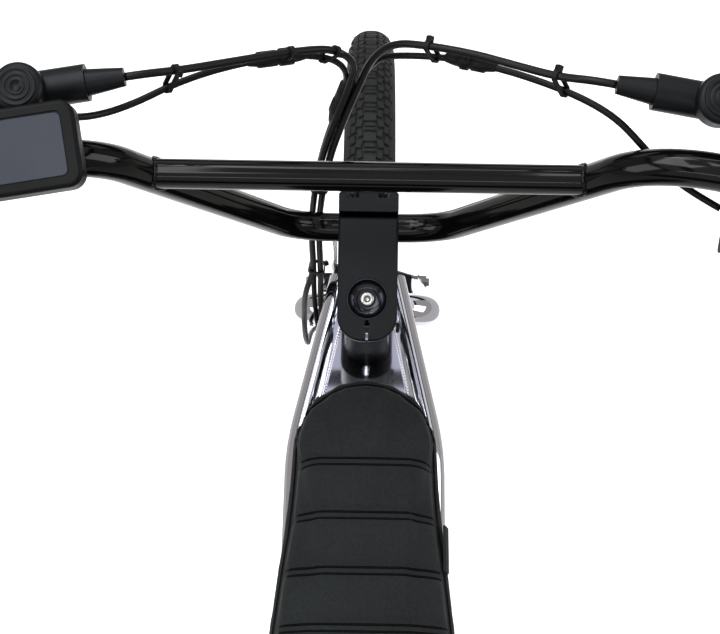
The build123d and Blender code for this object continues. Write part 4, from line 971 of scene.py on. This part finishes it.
# Controls, in mm; along is measured on the bar's swept end from its upper bend
controls = {
    "sweep": math.tan(math.radians(10)), "rise": 0.02, "upperBend": (74, 167, 799),
    "grip": {"along": 90, "pitch": 4.4, "ribs": 25,
             "rib": ((15.8, -1.3), (16.5, -0.8), (16.5, 0.8), (15.8, 1.3))},
    "reservoir": {"along": 36.17, "forward": 40, "up": 18, "cap": (
        (11.6, -0.5), (11.6, 0.9), (11.0, 1.3), (9.6, 1.3), (9.2, 0.7), (8.4, 0.7), (8.0, 1.2), (6.4, 1.2),
        (6.0, 0.6), (5.2, 0.6), (4.8, 1.1), (3.4, 1.1), (3.1, 0.4), (0.01, 0.4))},
    "thumbLever": {"along": 53.17, "pitch": 3.3, "ribs": 9, "back": 44.4, "down": 16,
                   "rib": ((0.8, -3.6), (0.9, -3.0), (0.9, 3.0), (0.8, 3.6))},
    "screen": {"along": 39.17, "up": 20.5, "off": 12.05, "glass": (70, 36, 3.5, 0.8, 0.3)},
    "seatTab": {"x": 120, "up": 33, "sunk": 1.0, "cloth": (36, 13, 1.5, 2.2, 0.6)},
}


def barPoint(along, side):
    # Point along the bar's swept end and the way outwards, along the steering's axes
    out = Vector((-controls["sweep"], 1, controls["rise"])).normalized()
    return mirrored(Vector(controls["upperBend"]) + out * along, side), mirrored(out, side)


def steeredWay(way):
    return (steerForward * way.x + Vector((0, way.y, 0)) + steerUp * way.z).normalized()


def addControls():
    # Ribs of the grips, ringed caps of the reservoirs, ribs of the thumb lever
    grip, reservoir, lever = controls["grip"], controls["reservoir"], controls["thumbLever"]
    ribs, caps = [], []
    for side in (-1, 1):
        for number in range(grip["ribs"]):
            place, out = barPoint(grip["along"] + number * grip["pitch"], side)
            ribs.append(lathe(grip["rib"], 32, alongAxis(steered(*place), steeredWay(out))))
        place = barPoint(reservoir["along"], side)[0] + Vector((reservoir["forward"], 0, reservoir["up"]))
        caps.append(lathe(reservoir["cap"], 36, alongAxis(steered(*place), steerUp)))
    addParts("grip_ribs", ribs, "steering", "rubber", gripRubber)
    addParts("reservoir_caps", caps, "steering", "black_satin", anodisedBlack)
    forward = Vector((1, -controls["sweep"], 0)).normalized()
    rows = []
    for number in range(lever["ribs"]):
        place = barPoint(lever["along"] + number * lever["pitch"], -1)[0]
        place += Vector((0, 0, -lever["down"])) - forward * lever["back"]
        rows.append(lathe(lever["rib"], 8, alongAxis(steered(*place), steerUp)))
    addParts("shifter_ribs", rows, "steering", "black_plastic", mouldedNylon)


def roundedPlate(width, depth, corner, thick, bevel, steps=8):
    # Plate with round corners and a bevelled upper edge, in mm about its middle
    outline = []
    for cx, cy, first in ((1, 1, 0), (-1, 1, 90), (-1, -1, 180), (1, -1, 270)):
        for k in range(steps + 1):
            turn = math.radians(first + 90 * k / steps)
            outline.append((cx * (width / 2 - corner), cy * (depth / 2 - corner), math.cos(turn),
                            math.sin(turn)))
    count = len(outline)
    points = []
    for drop, height in ((0, 0), (0, thick - bevel), (bevel, thick)):
        for x, y, cx, cy in outline:
            points.append(Vector((x + cx * (corner - drop), y + cy * (corner - drop), height)) / 1000)
    ends = [tuple(reversed(range(count))), tuple(range(2 * count, 3 * count))]
    return points, skinRings(3, count) + ends


def addDisplay():
    # The screen's cover glass, let into the housing
    screen = controls["screen"]
    place, out = barPoint(screen["along"], 1)
    normal = -(out.cross(Vector((1, 0, 0))))
    place += Vector((0, 0, screen["up"])) + normal * screen["off"]
    turn = alongAxis(steered(*place), steeredWay(normal), steeredWay(out))
    points, faces = roundedPlate(*screen["glass"])
    addParts("display_glass", [([turn @ p for p in points], faces)], "steering", "screen", screenGlass,
             smooth=False)


def addSeatTab():
    # Plain black fabric tab, folded and sewn to the border at the bench's right edge
    tab = controls["seatTab"]
    reach = -(edgeDistance(tab["x"], 0) + seat["proud"] - tab["sunk"])
    turn = alongAxis(Vector((tab["x"], reach, railHeight(tab["x"]) + tab["up"])) / 1000, (0, -1, 0.25),
                     (1, -0.04, 0.03))
    points, faces = roundedPlate(*tab["cloth"], steps=4)
    addParts("seat_tab", [([turn @ p for p in points], faces)], "frame", "seat_fabric", wovenBinding,
             smooth=False)


for addTrim in (addWelds, addScrews, addWheelTrim, addChain, addPedalPins, addControls, addDisplay,
                addSeatTab):
    addTrim()
print("stage: trim")

# Camera, floor and light
view = {"place": (-0.075, 0.0, 1.6844), "pitch": 67.5, "roll": -0.9, "focalPixels": 1222.0,
        "centreX": 367.0, "imageWidth": 720}
camera = bpy.data.cameras.new("camera")
camera.sensor_width = 36
camera.lens = view["focalPixels"] / view["imageWidth"] * camera.sensor_width
camera.shift_x = (view["imageWidth"] / 2 - view["centreX"]) / view["imageWidth"]
cameraObject = bpy.data.objects.new("camera", camera)
cameraObject.location = view["place"]
down = math.radians(view["pitch"])
cameraObject.rotation_mode = "QUATERNION"
aim = Vector((math.cos(down), 0, -math.sin(down)))
cameraObject.rotation_quaternion = Quaternion(aim, math.radians(view["roll"])) @ aim.to_track_quat("-Z", "Y")
bpy.context.scene.collection.objects.link(cameraObject)
bpy.context.scene.camera = cameraObject


def paleWhere(tree, white, body):
    # White to the camera, to mirrors and through glass, and the body value to everything else
    ray = addNode(tree, "LightPath").outputs
    seen = addNode(tree, "Math", links={0: ray["Is Camera Ray"], 1: ray["Is Glossy Ray"]},
                   operation="MAXIMUM")
    through = addNode(tree, "Math", links={0: seen.outputs[0], 1: ray["Is Transmission Ray"]},
                      operation="MAXIMUM")
    mix = addNode(tree, "Mix", {2: body, 3: white}, {0: through.outputs[0]}, data_type="FLOAT")
    return mix.outputs[0]


def addSheet(name, corners, material):
    # Flat sheet of the studio
    sheet = bpy.data.objects.new(name, meshFrom(name, corners, [(0, 1, 2, 3)]))
    sheet.data.materials.append(material)
    bpy.context.scene.collection.objects.link(sheet)
    return sheet


studio = {"floorReach": 30, "worldGlow": 0.55, "paperGlow": 0.56, "lampAim": Vector((0.1, 0, 0.6))}
world = bpy.data.worlds.new("studio")
bpy.context.scene.world = world
world.use_nodes = True
skyTree = world.node_tree
skyTree.nodes.clear()
sky = addNode(skyTree, "Background", {"Color": (1, 1, 1, 1)})
skyTree.links.new(paleWhere(skyTree, 1.0, studio["worldGlow"]), sky.inputs["Strength"])
addNode(skyTree, "OutputWorld", links={"Surface": sky.outputs[0]})

# Matt paper on the floor, with a glow of its own where the camera or a mirror sees it, so that it stays white
paper, paperTree = emptyMaterial("studioPaper")
diffuse = addNode(paperTree, "BsdfDiffuse", {"Color": (0.8, 0.8, 0.8, 1)})
glow = addNode(paperTree, "Emission", {"Color": (1, 1, 1, 1)})
paperTree.links.new(paleWhere(paperTree, studio["paperGlow"], 0.0), glow.inputs["Strength"])
both = addNode(paperTree, "AddShader", links={0: diffuse.outputs[0], 1: glow.outputs[0]})
addNode(paperTree, "OutputMaterial", links={"Surface": both.outputs[0]})
reach = studio["floorReach"]
addSheet("floor", [(-reach, -reach, 0), (reach, -reach, 0), (reach, reach, 0), (-reach, reach, 0)], paper)

# Painted reflections: glowing cards that only shiny surfaces see, standing for walls, dark bands, floor
# patches, a pale canopy and bright strips. Each is given by opposite corners
paintedReflectionCards = {
    "wallLeft": {"from": (-4, 3.6, 0), "to": (5, 3.6, 3.6), "colour": "#B7B3AC"},
    "wallRight": {"from": (-4, -3.6, 0), "to": (5, -3.6, 3.6), "colour": "#B7B3AC"},
    "bandLeft": {"from": (-4, 3.6, 3.6), "to": (5, 3.6, 4.3), "colour": "#101012"},
    "bandRight": {"from": (-4, -3.6, 3.6), "to": (5, -3.6, 4.3), "colour": "#101012"},
    "wallFront": {"from": (4.5, -4, 0), "to": (4.5, 4, 1.5), "colour": "#2A2A2C"},
    "wallBack": {"from": (-4.5, -4, 0), "to": (-4.5, 4, 1.5), "colour": "#2A2A2C"},
    "floorLeft": {"from": (-3, 0.45, 0.01), "to": (4, 3.6, 0.01), "colour": "#D6D3CE"},
    "floorRight": {"from": (-3, -3.6, 0.01), "to": (4, -0.45, 0.01), "colour": "#D6D3CE"},
    "canopy": {"from": (0.1, -0.34, 2.7), "to": (1.1, 0.34, 2.7), "colour": "#D6D7E4"},
    "ceilingLeft": {"from": (-4, 0.95, 4), "to": (5, 1.6, 4), "colour": "#1C1C1F"},
    "ceilingRight": {"from": (-4, -1.6, 4), "to": (5, -0.95, 4), "colour": "#1C1C1F"},
    # The two strips glow ten times as bright but are no lamps: painted highlights on the black bar and the
    # other shiny parts
    "paintedHighlightFront": {"from": (2.3, -1.6, 3.6), "to": (2.5, 1.6, 3.6), "colour": "#FFFFFF", "strength": 10},
    "paintedHighlightBack": {"from": (-2.3, -1.6, 3.0), "to": (-2.1, 1.6, 3.0), "colour": "#FFFFFF", "strength": 10},
}


def cardCorners(low, high):
    # The two corners between the opposite ones, whichever axis the card is square to
    if low[2] == high[2]:
        return low, (high[0], low[1], low[2]), high, (low[0], high[1], low[2])
    return low, (high[0], high[1], low[2]), high, (low[0], low[1], high[2])


for name, card in paintedReflectionCards.items():
    paint, paintTree = emptyMaterial(name)
    shade = addNode(paintTree, "Emission", {"Color": linearColour(card["colour"]),
                                            "Strength": card.get("strength", 1)})
    addNode(paintTree, "OutputMaterial", links={"Surface": shade.outputs[0]})
    sheet = addSheet(name, cardCorners(card["from"], card["to"]), paint)
    # Hidden from the camera, from matt surfaces and from shadows, so that each card shows only as a painted
    # reflection
    sheet.visible_camera = False
    sheet.visible_diffuse = False
    sheet.visible_shadow = False

lamps = {
    "overhead": {"place": (0.6, 0.5, 2.9), "size": 1.8, "power": 60},
    "left": {"place": (-0.4, 2.4, 1.9), "size": 1.6, "power": 28},
    "right": {"place": (0.2, -2.4, 1.9), "size": 1.6, "power": 28},
}
for name, lamp in lamps.items():
    light = bpy.data.lights.new(name, "AREA")
    light.size = lamp["size"]
    light.energy = lamp["power"]
    holder = bpy.data.objects.new(name, light)
    holder.location = lamp["place"]
    holder.rotation_mode = "QUATERNION"
    holder.rotation_quaternion = (studio["lampAim"] - Vector(lamp["place"])).to_track_quat("-Z", "Y")
    bpy.context.scene.collection.objects.link(holder)
bpy.context.scene.view_settings.view_transform = "Standard"
print("stage: camera and light")
